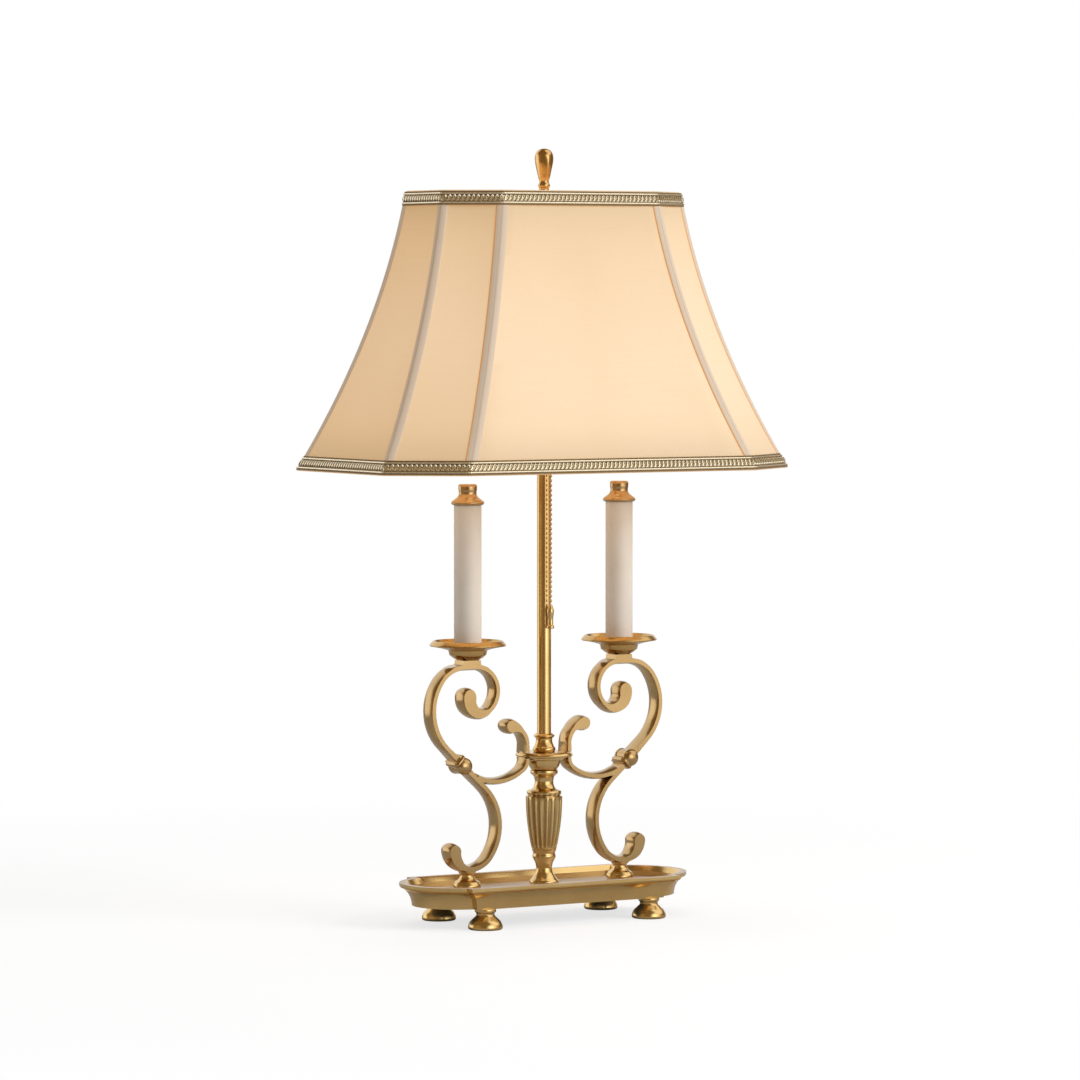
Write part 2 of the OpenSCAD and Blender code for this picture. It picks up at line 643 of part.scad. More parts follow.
// Scroll arms
module pedestal(side)
    color("#a87c3c") at_side(side, scroll_x) difference() {
        turned(stage(floor_z, [
            [0, 0], [pedestal_r - 0.6, 0], [pedestal_r - 1, 1.6], [pedestal_r - 0.2, 3.6], [pedestal_r, 5],
            [pedestal_r - 0.3, 6.8], [pedestal_r - 1.4, 8.4], [pedestal_r - 1.6, 9.2],
            [pedestal_neck_r + 2.6, 10.4], [pedestal_neck_r + 0.7, 12.4], [pedestal_neck_r, pedestal_h - 3.8],
            [pedestal_neck_r, pedestal_h - 2.2], [pedestal_neck_r + 1.2, pedestal_h - 1.2],
            [pedestal_neck_r + 1.6, pedestal_h], [0, pedestal_h]
        ]));
        translate([0, 0, floor_z - 1]) cylinder(d = bolt_d + 2 * loose, h = pedestal_h + 2);
    }
module arm_screws()
    color("#8d8d88") for (side = [-1, 1]) at_side(side, scroll_x) {
        translate([0, 0, floor_z - tray_wall - bolt_head_h]) cylinder(d = bolt_head_d, h = bolt_head_h);
        translate([0, 0, floor_z - tray_wall - eps])
            cylinder(d = bolt_d, h = tray_wall + pedestal_h + arm_bolt_up);
    }
// A round bead that lies across the bar, with its edges rounded, and a narrow ring beside it
bead_profile = [
    [0, -knot_half_y], [knot_r - 3.4, -knot_half_y], [knot_r - 1.6, 0.8 - knot_half_y],
    [knot_r - 0.4, 2.4 - knot_half_y], [knot_r, 4 - knot_half_y], [knot_r, knot_half_y - 4],
    [knot_r - 0.4, knot_half_y - 2.4], [knot_r - 1.6, knot_half_y - 0.8], [knot_r - 3.4, knot_half_y],
    [0, knot_half_y]
];
module knot(ridge)
    translate([knot_at[0], 0, knot_at[1]]) rotate([0, -run_start[2], 0]) {
        rotate([90, 0, 0]) turned(bead_profile);
        translate([ridge * knot_r, 0, 0]) flat_bar(bar_outline([
            [0, -knot_r * 0.56, 90, knot_ring_t / 2], [0, knot_r * 0.56, 90, knot_ring_t / 2]
        ], true, true), 2 * knot_half_y - 1.8);
    }
module arm(side)
    color("#b98c48") mirrored(side) difference() {
        union() {
            flat_bar(bar_outline(lower_stations, true, true), bar_depth);
            flat_bar(bar_outline(fork_stations, false, false), bar_depth);
            flat_bar([
                [candle_x - pad_w / 2, pad_z], [candle_x + pad_w / 2, pad_z],
                [candle_x + pad_w / 2, pad_z - 2.2], [candle_x + pad_w / 2 + 2, bar_top_z],
                [candle_x - pad_w / 2 - 1, bar_top_z], [candle_x - pad_w / 2, pad_z - 2.2]
            ], bar_depth);
            flat_bar([
                [scroll_x - foot_flat, floor_z + pedestal_h], [scroll_x + foot_flat, floor_z + pedestal_h],
                [scroll_x + foot_flat, scroll_z], [scroll_x - foot_flat, scroll_z]
            ], bar_depth - 4);
            knot(side < 0 ? 1 : -1);
            translate([slot_x, 0, disc_z + disc_under - eps + (disc_h - disc_under + tenon_h) / 2])
                cube([2 * tenon_half, 2 * tenon_half_y, disc_h - disc_under + tenon_h], center = true);
        }
        translate([candle_x, 0, bar_top_z + bar_half]) cylinder(d = bolt_d, h = pad_h + 1);
        translate([scroll_x, 0, floor_z + pedestal_h - 1]) cylinder(d = bolt_d, h = arm_bolt_up + 1);
    }
module curl(side)
    color("#b98c48") mirrored(side) difference() {
        flat_bar(bar_outline(trail(curl_steps, [slot_x, disc_top], 90), false, true), bar_depth);
        translate([slot_x, 0, disc_top]) cube(
            [2 * tenon_half + 0.2, 2 * tenon_half_y + 0.2, 2 * (tenon_h + 0.2)], center = true);
    }

// Candles
module drip_pan(side)
    color("#c0914a") at_side(side, candle_x) difference() {
        turned([
            [0, pad_z], [9.3, pad_z], [cup_r - 4.6, pad_z + cup_h * 0.2], [cup_r - 1, pad_z + cup_h * 0.52],
            [cup_r, pan_z - 0.6], [cup_r, pan_z], [pan_r - 10, pan_z + 1.8], [pan_r - 3.6, pan_z + 3.2],
            [pan_r - 0.8, pan_z + 3.6], [pan_r, pan_z + 4.4], [pan_r - 0.5, pan_z + 5.2],
            [pan_ring_r + 0.7, dish_z + pan_depth - 0.6], [pan_ring_r, dish_z + pan_depth],
            [pan_ring_r - 0.8, dish_z + pan_depth - 0.2], [pan_ring_r - 1.6, dish_z + 3],
            [pan_ring_r - 4, dish_z + 1], [pan_ring_r - 8, dish_z], [0, dish_z]
        ]);
        translate([0, 0, pad_z - 1]) cylinder(d = bolt_d + 2 * loose, h = dish_z - pad_z + 2);
    }
module candle_rods()
    color("#8d8d88") for (side = [-1, 1]) at_side(side, candle_x, bar_top_z + bar_half + 1)
        cylinder(d = bolt_d, h = cap_top - bar_top_z - bar_half - 6);
module candle(side)
    color("#e6dcc0") at_side(side, candle_x, dish_z) difference() {
        cylinder(r = candle_r, h = candle_h);
        translate([0, 0, -1]) cylinder(r = candle_r - candle_wall, h = candle_h + 2);
    }
module candle_cap(side)
    color("#b9863f") at_side(side, candle_x) difference() {
        turned(stage(candle_top, [
            [0, -cap_plug], [candle_r - candle_wall - 0.1, -cap_plug], [candle_r - candle_wall - 0.1, 0],
            [candle_r + 0.4, 0], [cap_flange_r - 0.6, 0.9], [cap_flange_r, 2.2], [cap_flange_r - 0.6, 3.4],
            [cap_flange_r - 2.2, 4.6], [cap_r + 2.6, 5.8], [cap_r + 0.7, 7.4], [cap_r - 0.4, 9.4],
            [cap_r - 0.5, cap_h * 0.62], [cap_r - 0.1, cap_h * 0.74], [cap_r, cap_h - 2.2],
            [cap_r - 0.2, cap_h - 0.9], [cap_r - 1, cap_h], [0, cap_h]
        ]));
        translate([0, 0, candle_top - cap_plug - 1]) cylinder(d = bolt_d, h = cap_h + cap_plug - 4);
    }

// Light cluster: a round box with a lamp holder on each side and the switch inside
module cluster_body()
    color("#b3873f") difference() {
        union() {
            turned(stage(cluster_z, [
                [0, 0], [cluster_r - 2, 0], [cluster_r - 0.4, 0.8], [cluster_r, 2.4], [cluster_r, cluster_h],
                [0, cluster_h]
            ]));
            for (side = [-1, 1]) at_side(side, 0, light_z) rotate([0, side * 90, 0])
                cylinder(r = nipple_r, h = holder_x);
        }
        translate([0, 0, cluster_z + cluster_floor])
            cylinder(r = cluster_r - cluster_wall, h = cluster_h);
        translate([0, 0, cluster_z - 1]) cylinder(d = pipe_d, h = cluster_floor + 2);
        translate([0, -chain_y, cluster_z - 1]) cylinder(r = bushing_r - 0.8, h = cluster_floor + 2);
        translate([0, 0, light_z]) rotate([0, 90, 0])
            cylinder(r = nipple_r - 1.4, h = 2 * holder_x + 2, center = true);
    }
module cluster_cap()
    color("#b3873f") difference() {
        turned(stage(cluster_top, [
            [0, 0], [cluster_r, 0], [cluster_r, 1.4], [cluster_r - 3, 3], [cluster_r - 9, cap_dome],
            [shade_rod_d / 2 + 2.4, cap_dome + 1], [shade_rod_d / 2 + 2.4, cap_dome + 4], [0, cap_dome + 4]
        ]));
        translate([0, 0, cluster_top - 1]) cylinder(d = shade_rod_d, h = cap_dome + 6);
    }
module switch_frame()
    color("#39312c") union() {
        for (side = [-1, 1]) difference() {
            at_side(side, frame_w / 2 + 1) translate([0, drum_y, frame_mid])
                cube([2, 2 * drum_r + 1.6, cluster_top - frame_low], center = true);
            translate([0, drum_y, drum_z]) rotate([0, 90, 0])
                cylinder(r = axle_r + fit, h = 2 * frame_w, center = true);
        }
        translate([-frame_w / 2 - 2, drum_y - drum_r - 0.8, cluster_top - 1.5])
            cube([frame_w + 4, 2 * drum_r + 1.6, 1.5]);
    }
module switch_drum()
    color("#c9b98f") translate([0, drum_y, drum_z]) rotate([0, 90, 0]) {
        cylinder(r = drum_r, h = drum_w, center = true);
        cylinder(r = axle_r, h = frame_w + 3.6, center = true);
    }
module chain_bushing()
    color("#b3873f") translate([0, -chain_y, cluster_z]) difference() {
        turned([
            [0, 0], [bushing_r, 0], [bushing_r, -2], [bushing_r - 0.6, -3.4], [bushing_r + 0.2, -bushing_h],
            [0, -bushing_h]
        ]);
        translate([0, 0, -bushing_h - 1]) cylinder(r = bead_d / 2 + 0.4, h = bushing_h + 2);
    }

// Chain: a link that slides through the bushing, and the length that hangs from it
module beads(count, first_z)
    for (k = [0 : count - 1]) translate([0, 0, first_z - k * bead_pitch]) sphere(d = bead_d, $fn = 24);
module chain_link()
    color("#c2a25e") translate([0, -chain_y, 0]) {
        beads(link_beads, chain_top + link_beads * bead_pitch);
        translate([0, 0, chain_top + bead_d / 2 + 0.4])
            cylinder(r = link_r, h = link_beads * bead_pitch - bead_d / 2 - 0.4);
    }
module pull_chain()
    color("#c2a25e") translate([0, -chain_y, 0]) {
        beads(chain_beads, chain_top);
        translate([0, 0, chain_low + 1]) cylinder(r = link_r, h = chain_top - chain_low - 1);
    }
module chain_pull()
    color("#b9863f") translate([0, -chain_y, chain_low + 1]) turned([
        [0, 0], [1.5, 0], [1.9, -1.2], [pull_r - 0.5, -4], [pull_r - 0.2, -6.4], [pull_r - 0.5, -9],
        [pull_r - 1, -13], [pull_r - 0.9, 3.6 - pull_h], [pull_r - 0.2, 2.4 - pull_h], [pull_r, 1.6 - pull_h],
        [pull_r, 0.6 - pull_h], [pull_r - 0.6, -pull_h], [0, -pull_h]
    ]);

// Lamp holders and bulbs
module lamp_holder(side)
    color("#e4ddcf") at_side(side, holder_x, light_z) rotate([0, side * 90, 0]) difference() {
        cylinder(r = holder_r, h = holder_len);
        translate([0, 0, holder_len - bulb_base_len - 1]) cylinder(r = bulb_base_r + fit, h = bulb_base_len + 2);
        translate([0, 0, -1]) cylinder(r = nipple_r - 1.4, h = 3);
    }
module bulb(side)
    color("#fbf3df") at_side(side, holder_end, light_z) rotate([0, side * 90, 0]) {
        turned([
            [0, -bulb_base_len], [3, -bulb_base_len], [bulb_base_r, 2 - bulb_base_len], [bulb_base_r, bulb_gap],
            [bulb_base_r + 1, bulb_gap + 0.6], [bulb_r * 0.62, bulb_gap + 5],
            for (a = [-48 : 12 : 84]) [bulb_r * cos(a), bulb_mid + bulb_r * sin(a)],
            [0, bulb_mid + bulb_r]
        ]);
    }

// Rod above the cluster, with the nut that the shade rests on
module shade_rod()
    color("#a8884f") translate([0, 0, cluster_top + 1])
        cylinder(d = shade_rod_d, h = finial_z + finial_grip - cluster_top - 1);
module spider_nut()
    color("#b3873f") translate([0, 0, washer_z - 5]) difference() {
        cylinder(r = 8, h = 5);
        translate([0, 0, -1]) cylinder(d = shade_rod_d, h = 7);
    }

// Shade: eight flat-sided, flared panels. Corners of a level, moved in by an inset
function flare(t) = let (u = 1 - t) u * (1 - shade_flare) + u * u * shade_flare;
function mix(a, b, f) = a + (b - a) * f;
function level_corners(t, inset) =
    let (
        f = flare(t), half_x = mix(shade_top_x, shade_bottom_x, f), half_y = mix(shade_top_y, shade_bottom_y, f),
        cut_x = mix(cut_top_x, cut_bottom_x, f), cut_y = mix(cut_top_y, cut_bottom_y, f),
        n = sqrt(cut_x * cut_x + cut_y * cut_y), nx = cut_y / n, ny = cut_x / n,
        x = half_x - inset, y = half_y - inset,
        ax = cut_x - inset + inset * (1 - ny) / nx, by = cut_y - inset + inset * (1 - nx) / ny
    )
    [
        [x, by - y], [x, y - by], [x - ax, y], [ax - x, y], [-x, y - by], [-x, by - y], [ax - x, -y], [x - ax, -y]
    ];
function level_z(t) = shade_z + shade_h * t;
function lift(points, z) = [for (p = points) [p[0], p[1], z]];

// A closed band between two insets, over the levels in ts
module band(ts, outer, inner) {
    n = len(ts);
    points = concat(
        [for (t = ts, p = lift(level_corners(t, outer), level_z(t))) p],
        [for (t = ts, p = lift(level_corners(t, inner), level_z(t))) p]
    );
    o = 8 * n;
    polyhedron(points, concat(
        [for (i = [0 : n - 2], k = [0 : 7])
            [8 * i + k, 8 * i + 8 + k, 8 * i + 8 + (k + 1) % 8, 8 * i + (k + 1) % 8]],
        [for (i = [0 : n - 2], k = [0 : 7])
            [o + 8 * i + k, o + 8 * i + (k + 1) % 8, o + 8 * i + 8 + (k + 1) % 8, o + 8 * i + 8 + k]],
        [for (k = [0 : 7]) [k, (k + 1) % 8, o + (k + 1) % 8, o + k]],
        [for (k = [0 : 7]) [o - 8 + k, 2 * o - 8 + k, 2 * o - 8 + (k + 1) % 8, o - 8 + (k + 1) % 8]]
    ));
}
function spread(from, to, n) = [for (k = [0 : n]) from + (to - from) * k / n];
cover_levels = concat([0], spread(trim_share, 1 - trim_share, levels - 2), [1]);
function levels_between(a, b) = concat([a], [for (t = cover_levels) if (t > a + 0.004 && t < b - 0.004) t], [b]);
module shade_cover() color("#ecd9b4") band(cover_levels, 0, cover_t);
module shade_lining()
    color("#efe6d2") band(levels_between(lining_low, lining_high), lining_in, lining_in + lining_t);
module trim_bottom() color("#a98d55") band([0, trim_share], -seat - trim_t, -seat);
module trim_top() color("#a98d55") band([1 - trim_share, 1], -seat - trim_t, -seat);

// A tube of six sides along points, and a tape folded over a corner
function ring(at, r) = [for (a = [0 : 60 : 300]) at + [r * cos(a), r * sin(a), 0]];
module sweep(rings) {
    n = len(rings);
    m = len(rings[0]);
    polyhedron([for (r = rings, p = r) p], concat(
        [[for (k = [0 : m - 1]) k]],
        [for (i = [0 : n - 2], k = [0 : m - 1])
            [m * i + k, m * i + m + k, m * i + m + (k + 1) % m, m * i + (k + 1) % m]],
        [[for (k = [m - 1 : -1 : 0]) m * (n - 1) + k]]
    ));
}
function toward(a, b, d) = a + (b - a) * d / norm(b - a);
function tape_section(t, k) =
    let (
        o = level_corners(t, -seat - tape_t), i = level_corners(t, -seat + 0.05),
        before = (k + 7) % 8, next = (k + 1) % 8
    )
    lift([
        toward(o[k], o[before], tape_w), o[k], toward(o[k], o[next], tape_w),
        toward(i[k], i[next], tape_w), i[k], toward(i[k], i[before], tape_w)
    ], level_z(t));
module rib_tapes()
    color("#cdb99a") for (k = [0 : 7])
        sweep([for (t = levels_between(trim_share + tape_gap, 1 - trim_share - tape_gap)) tape_section(t, k)]);

// Wire frame: a rib in each corner between a ring at each edge, and a spider with its washer
module rod_between(a, b, r)
    translate(a) rotate([0, acos((b[2] - a[2]) / norm(b - a)), atan2(b[1] - a[1], b[0] - a[0])])
        cylinder(r = r, h = norm(b - a), $fn = 24);
function wire_corner(t, k) = let (p = level_corners(t, wire_in)[k]) [p[0], p[1], level_z(t)];
module wire_ring(t) {
    r = wire_d / 2;
    section = [for (a = [30 : 60 : 330]) [r * cos(a), r * sin(a)]];
    points = [for (q = section, k = [0 : 7])
        let (p = level_corners(t, wire_in - q[0])[k]) [p[0], p[1], level_z(t) + q[1]]];
    polyhedron(points, [for (i = [0 : 5], k = [0 : 7])
        let (j = (i + 1) % 6, l = (k + 1) % 8) [8 * i + k, 8 * j + k, 8 * j + l, 8 * i + l]]);
}
module shade_frame()
    color("#9a9a94") {
        wire_ring(wire_edge);
        wire_ring(1 - wire_edge);
        for (k = [0 : 7]) sweep([for (t = levels_between(2 * wire_edge, 1 - 2 * wire_edge))
            ring(wire_corner(t, k), wire_d / 2)]);
    }
module spider()
    color("#9a9a94") difference() {
        union() {
            translate([0, 0, washer_z]) cylinder(r = shade_arm_r, h = spider_t);
            for (k = [0 : 2 : 6]) {
                m = (wire_corner(1 - wire_edge, k) + wire_corner(1 - wire_edge, k + 1)) / 2;
                hub = toward([0, 0, washer_z + spider_t / 2], [m[0], m[1], washer_z + spider_t / 2], shade_arm_r - 2);
                rod_between(toward(m, hub, wire_d / 2 + seat), hub, wire_d / 2);
            }
        }
        translate([0, 0, washer_z - 3]) cylinder(d = shade_rod_d + 2 * fit, h = 8);
    }

module finial()
    color("#b9863f") difference() {
        turned(stage(finial_z, [
            [0, 0], [5.6, 0], [5.6, 1.4], [4.6, 2.4], [4.6, 6], [5, 7.4], [5, 8.6], [4.3, 10], [4.4, 11.2],
            [5.1, 13], [finial_r - 2.2, finial_h * 0.46], [finial_r - 0.9, finial_h * 0.58],
            [finial_r - 0.1, finial_h * 0.68], [finial_r, finial_h * 0.76], [finial_r - 0.5, finial_h * 0.86],
            [finial_r - 2, finial_h * 0.94], [2.8, finial_h * 0.985], [0, finial_h]
        ]));
        translate([0, 0, finial_z - 1]) cylinder(d = shade_rod_d + 2 * fit, h = finial_grip + 2);
    }

foot(-1, -1);  // foot_front_left
foot(1, -1);  // foot_front_right
foot(-1, 1);  // foot_back_left
foot(1, 1);  // foot_back_right
foot_screws();
base_plate();
base_weight();
tray();
cord_bushing();
pipe_nut();
pipe_washer();
threaded_pipe();
lead_wires();
column();
collar();
stem_socket();
stem_tube();
pedestal(-1);  // pedestal_left
pedestal(1);  // pedestal_right
arm_screws();
arm(-1);  // arm_left
arm(1);  // arm_right
curl(-1);  // curl_left
curl(1);  // curl_right
drip_pan(-1);  // drip_pan_left
drip_pan(1);  // drip_pan_right
candle_rods();
candle(-1);  // candle_left
candle(1);  // candle_right
candle_cap(-1);  // candle_cap_left
candle_cap(1);  // candle_cap_right
cluster_body();
cluster_cap();
switch_frame();
switch_drum();
chain_bushing();
chain_link();
pull_chain();
chain_pull();
lamp_holder(-1);  // lamp_holder_left
lamp_holder(1);  // lamp_holder_right
bulb(-1);  // bulb_left
bulb(1);  // bulb_right
shade_rod();
spider_nut();
shade_frame();
spider();
shade_cover();
shade_lining();
rib_tapes();
trim_top();
trim_bottom();
finial();
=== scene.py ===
import json
import math

import bmesh
import bpy
from mathutils import Matrix, Vector

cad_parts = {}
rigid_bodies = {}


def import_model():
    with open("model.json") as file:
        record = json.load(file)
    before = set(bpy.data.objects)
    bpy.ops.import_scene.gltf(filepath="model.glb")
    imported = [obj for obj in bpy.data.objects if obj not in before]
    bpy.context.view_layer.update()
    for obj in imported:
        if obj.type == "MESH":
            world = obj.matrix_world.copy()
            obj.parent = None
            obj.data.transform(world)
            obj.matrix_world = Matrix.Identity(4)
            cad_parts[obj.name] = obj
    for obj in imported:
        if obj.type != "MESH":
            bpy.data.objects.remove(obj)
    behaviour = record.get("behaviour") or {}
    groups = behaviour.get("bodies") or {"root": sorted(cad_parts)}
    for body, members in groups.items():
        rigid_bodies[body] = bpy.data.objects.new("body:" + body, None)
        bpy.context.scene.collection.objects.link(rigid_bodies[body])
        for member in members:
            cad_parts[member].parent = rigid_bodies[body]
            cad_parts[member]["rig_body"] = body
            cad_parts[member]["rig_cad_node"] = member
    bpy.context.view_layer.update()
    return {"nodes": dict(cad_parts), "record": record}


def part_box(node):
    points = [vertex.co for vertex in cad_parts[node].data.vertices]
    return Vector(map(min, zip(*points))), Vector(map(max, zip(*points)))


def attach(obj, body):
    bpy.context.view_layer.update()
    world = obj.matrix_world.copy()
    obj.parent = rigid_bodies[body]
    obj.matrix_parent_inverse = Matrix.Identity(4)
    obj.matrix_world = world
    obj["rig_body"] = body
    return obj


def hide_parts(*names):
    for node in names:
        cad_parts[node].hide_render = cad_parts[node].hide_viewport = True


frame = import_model()
nodes = frame["nodes"]
mm = 0.001
close = 0.02 * mm               # two measures nearer than this count as the same
fullTurn = 2 * math.pi
bpy.ops.object.select_all(action="DESELECT")
print("frame loaded")


# shader maths: a socket that takes + - * / and a few named steps

class Flow:
    def __init__(self, tree, socket):
        self.tree = tree
        self.socket = socket

    def math(self, operation, *others):
        node = self.tree.nodes.new("ShaderNodeMath")
        node.operation = operation
        for place, value in enumerate((self,) + others):
            connect(self.tree, node.inputs[place], value)
        return Flow(self.tree, node.outputs[0])

    def __add__(self, other):
        return self.math("ADD", other)

    def __radd__(self, other):
        return self.math("ADD", other)

    def __sub__(self, other):
        return self.math("SUBTRACT", other)

    def __rsub__(self, other):
        return self.math("MULTIPLY_ADD", -1.0, other)

    def __mul__(self, other):
        return self.math("MULTIPLY", other)

    def __rmul__(self, other):
        return self.math("MULTIPLY", other)

    def __truediv__(self, other):
        return self.math("DIVIDE", other)

    def sine(self):
        return self.math("SINE")

    def cosine(self):
        return self.math("COSINE")

    def absolute(self):
        return self.math("ABSOLUTE")

    def larger(self, other):
        return self.math("MAXIMUM", other)

    def step(self, low, high):      # 0 below low, 1 above high, smooth between
        node = self.tree.nodes.new("ShaderNodeMapRange")
        node.interpolation_type = "SMOOTHSTEP"
        connect(self.tree, node.inputs["Value"], self)
        connect(self.tree, node.inputs["From Min"], low)
        connect(self.tree, node.inputs["From Max"], high)
        return Flow(self.tree, node.outputs["Result"])


def connect(tree, target, value):
    if isinstance(value, Flow):
        tree.links.new(value.socket, target)
    elif isinstance(value, bpy.types.NodeSocket):
        tree.links.new(value, target)
    else:
        target.default_value = value


colourMix = {"inputs": (0, 6, 7), "result": 2}      # factor, low and high colour, mixed colour


def mixed(tree, share, low, high):
    node = tree.nodes.new("ShaderNodeMix")
    node.data_type = "RGBA"
    for place, value in zip(colourMix["inputs"], (share, low, high)):
        connect(tree, node.inputs[place], (*value, 1.0) if isinstance(value, tuple) else value)
    return node.outputs[colourMix["result"]]


class Finish:
    # one material, with the nodes that its surface is worked out from
    def __init__(self, name, **constants):
        self.material = bpy.data.materials.new(name)
        self.material.use_nodes = True
        self.tree = self.material.node_tree
        self.shader = self.tree.nodes["Principled BSDF"]
        self.set(**constants)
        self.place = self.node("ShaderNodeTexCoord").outputs["Object"]
        self.x, self.y, self.z = self.parts(self.place)

    def set(self, **values):
        for name, value in values.items():
            connect(self.tree, self.shader.inputs[name.replace("_", " ")], value)

    def node(self, kind, settings=None, **values):
        made = self.tree.nodes.new(kind)
        for name, value in (settings or {}).items():
            setattr(made, name, value)
        for name, value in values.items():
            connect(self.tree, made.inputs[name.replace("_", " ")], value)
        return made

    def parts(self, vector):
        split = self.node("ShaderNodeSeparateXYZ", Vector=vector)
        return [Flow(self.tree, out) for out in split.outputs]

    def stretched(self, x, y, z):
        mapped = self.node("ShaderNodeMapping", {"vector_type": "POINT"}, Vector=self.place)
        mapped.inputs["Scale"].default_value = (x, y, z)
        return mapped.outputs["Vector"]

    def noise(self, scale, detail=2.0, roughness=0.5, vector=None):
        made = self.node("ShaderNodeTexNoise", Vector=vector or self.place, Scale=scale,
                         Detail=detail, Roughness=roughness)
        return Flow(self.tree, made.outputs["Fac"])

    def mix(self, share, low, high):
        return mixed(self.tree, share, low, high)

    def bump(self, height, strength, distance):
        made = self.node("ShaderNodeBump", Height=height, Strength=strength, Distance=distance)
        self.set(Normal=made.outputs["Normal"])


def linear(red, green, blue):
    # colours are written as 0 to 255 and turned into Blender's linear ones
    shares = [channel / 255 for channel in (red, green, blue)]
    return tuple(c / 12.92 if c < 0.04045 else ((c + 0.055) / 1.055) ** 2.4 for c in shares)


def dimmed(colour, share):
    return tuple(share * c for c in colour)


# brass, in one finish for each kind of casting and turning

brassLook = {
    "light": linear(222, 188, 126),
    "deep": linear(190, 150, 88),
    "deepen": 0.0,                      # share of the deep colour all over
    # painted shade: corners and hollows are darkened towards this colour
    "grime": linear(84, 56, 26),
    "grimeShare": 0.6,
    "reach": 4.0,                       # mm from a corner over which the painted shade darkens the surface
    # painted light: the glow of the shade, warming the brass higher up
    "warmest": linear(204, 146, 80),
    "warm": 0.0,                        # share of painted warm light from the shade, growing with height
    "warmHeights": (0.24, 0.40),
    "roughness": 0.20,
    "coat": 0.25,
    "coatRoughness": 0.12,
    # noise: scale, detail, roughness
    "clouds": (26.0, 3.0, 0.55),
    "specks": (210.0, 3.0, 0.6),
    "brushing": (700.0, 2.0, 0.7),
    "brushStretch": 0.05,
    "fluted": False,
    "flutes": 18,
    "fluteEnds": (0.063, 0.066, 0.112, 0.115),      # heights where the flutes start and end
    # painted highlight along the flutes' ridges
    "ridge": linear(246, 216, 150),
    "paleFlats": False,
    "flat": (0.92, 0.91, 0.97),         # painted reflection on faces that look up
    "flatShare": 0.6,
}


def brass(name, **changed):
    look = {**brassLook, **changed}
    f = Finish(name, Metallic=1.0, Coat_Weight=look["coat"], Coat_Roughness=look["coatRoughness"])
    cloud = f.noise(*look["clouds"])
    specks = f.noise(*look["specks"]).step(0.62, 0.82)
    # painted shade in corners and hollows, where ambient occlusion finds them
    hollow = f.node("ShaderNodeAmbientOcclusion", {"samples": 12}, Distance=look["reach"] * mm)
    dark = (1.0 - Flow(f.tree, hollow.outputs["AO"])).step(0.30, 0.9) * look["grimeShare"]
    tone = f.mix(cloud.step(0.3, 0.75) * 0.35 + look["deepen"], look["light"], look["deep"])
    tone = f.mix(specks * 0.10, tone, look["deep"])
    if look["fluted"]:              # painted shade in the flute hollows and a painted highlight along the ridges
        start, full, fade, end = look["fluteEnds"]
        wave = (f.y.math("ARCTAN2", f.x) * look["flutes"]).cosine()
        within = f.z.step(start, full) * (1.0 - f.z.step(fade, end))
        dark = dark.larger(wave.step(-0.55, 0.5) * within * 0.5)
        tone = f.mix((1.0 - wave.step(-1.0, -0.7)) * within * 0.6, tone, look["ridge"])
    # painted light: the brass is warmed towards the shade's glow above it
    if look["warm"]:
        tone = f.mix(f.z.step(*look["warmHeights"]) * look["warm"], tone, look["warmest"])
    tone = f.mix(dark, tone, look["grime"])
    brushed = f.noise(*look["brushing"], f.stretched(1.0, 1.0, look["brushStretch"]))
    rough = look["roughness"] + (cloud - 0.5) * 0.10 + dark * 0.2
    # painted reflection: faces that look up are paled as if mirroring the bright backdrop; they are
    # also made rougher and less metallic
    if look["paleFlats"]:
        up = f.parts(f.node("ShaderNodeNewGeometry").outputs["Normal"])[2].step(0.9, 0.98)
        tone = f.mix(up * look["flatShare"], tone, look["flat"])
        rough = rough + up * 0.30
        f.set(Metallic=1.0 - up * 0.35, Coat_Weight=look["coat"] - up * look["coat"])
    f.set(Base_Color=tone, Roughness=rough)
    f.bump(brushed, 0.05, 0.08 * mm)
    return f.material


brassFinish = brass("satin brass", warm=0.35)
trayBrass = brass("tray brass", grimeShare=0.3, reach=2.0, coatRoughness=0.25, paleFlats=True)
castBrass = brass("cast brass", warm=0.2, light=linear(190, 157, 106), deep=linear(164, 129, 78))
panBrass = brass("pan brass", deepen=0.65, roughness=0.24)
# the candle caps and the light cluster take the most painted light from the shade
capBrass = brass("warm brass", warm=1.0, roughness=0.23, warmest=linear(192, 154, 106))
giltBrass = brass("gilt brass", warm=0.45, grimeShare=0.3)
flutedBrass = brass("fluted brass", grimeShare=0.95, reach=2.2, fluted=True)
# the feet take deeper painted shade in their hollows
darkBrass = brass("aged brass", grimeShare=0.75, roughness=0.22)


# plain fittings, most of them out of sight

def plain(name, colour, metallic, roughness, spotScale=180.0, spot=0.18):
    f = Finish(name, Metallic=metallic)
    cloud = f.noise(spotScale, 3.0, 0.6)
    f.set(Base_Color=f.mix(cloud.step(0.3, 0.8) * spot, colour, dimmed(colour, 0.5)),
          Roughness=roughness + (cloud - 0.5) * 0.15)
    f.bump(f.noise(spotScale * 6), 0.1, 0.1 * mm)
    return f.material


steel = plain("zinc plated steel", linear(176, 176, 170), 1.0, 0.34)
castIron = plain("cast iron", linear(62, 60, 57), 0.6, 0.75, 400.0, 0.5)
blackRubber = plain("black rubber", linear(36, 34, 33), 0.0, 0.62)
fibre = plain("dark fibre", linear(64, 54, 48), 0.0, 0.7)
porcelain = plain("glazed porcelain", linear(226, 220, 208), 0.0, 0.2, 60.0, 0.05)
leadCover = plain("lead cover", linear(206, 196, 170), 0.0, 0.5)


candle = {
    "ivory": linear(248, 240, 230),
    "cloudy": linear(240, 229, 216),
    "lit": linear(246, 222, 198),       # painted warm light from the shade, towards the candle's top
    "litShare": 0.3,
    "litHeights": (0.25, 0.372),
    "roughness": 0.46,
}


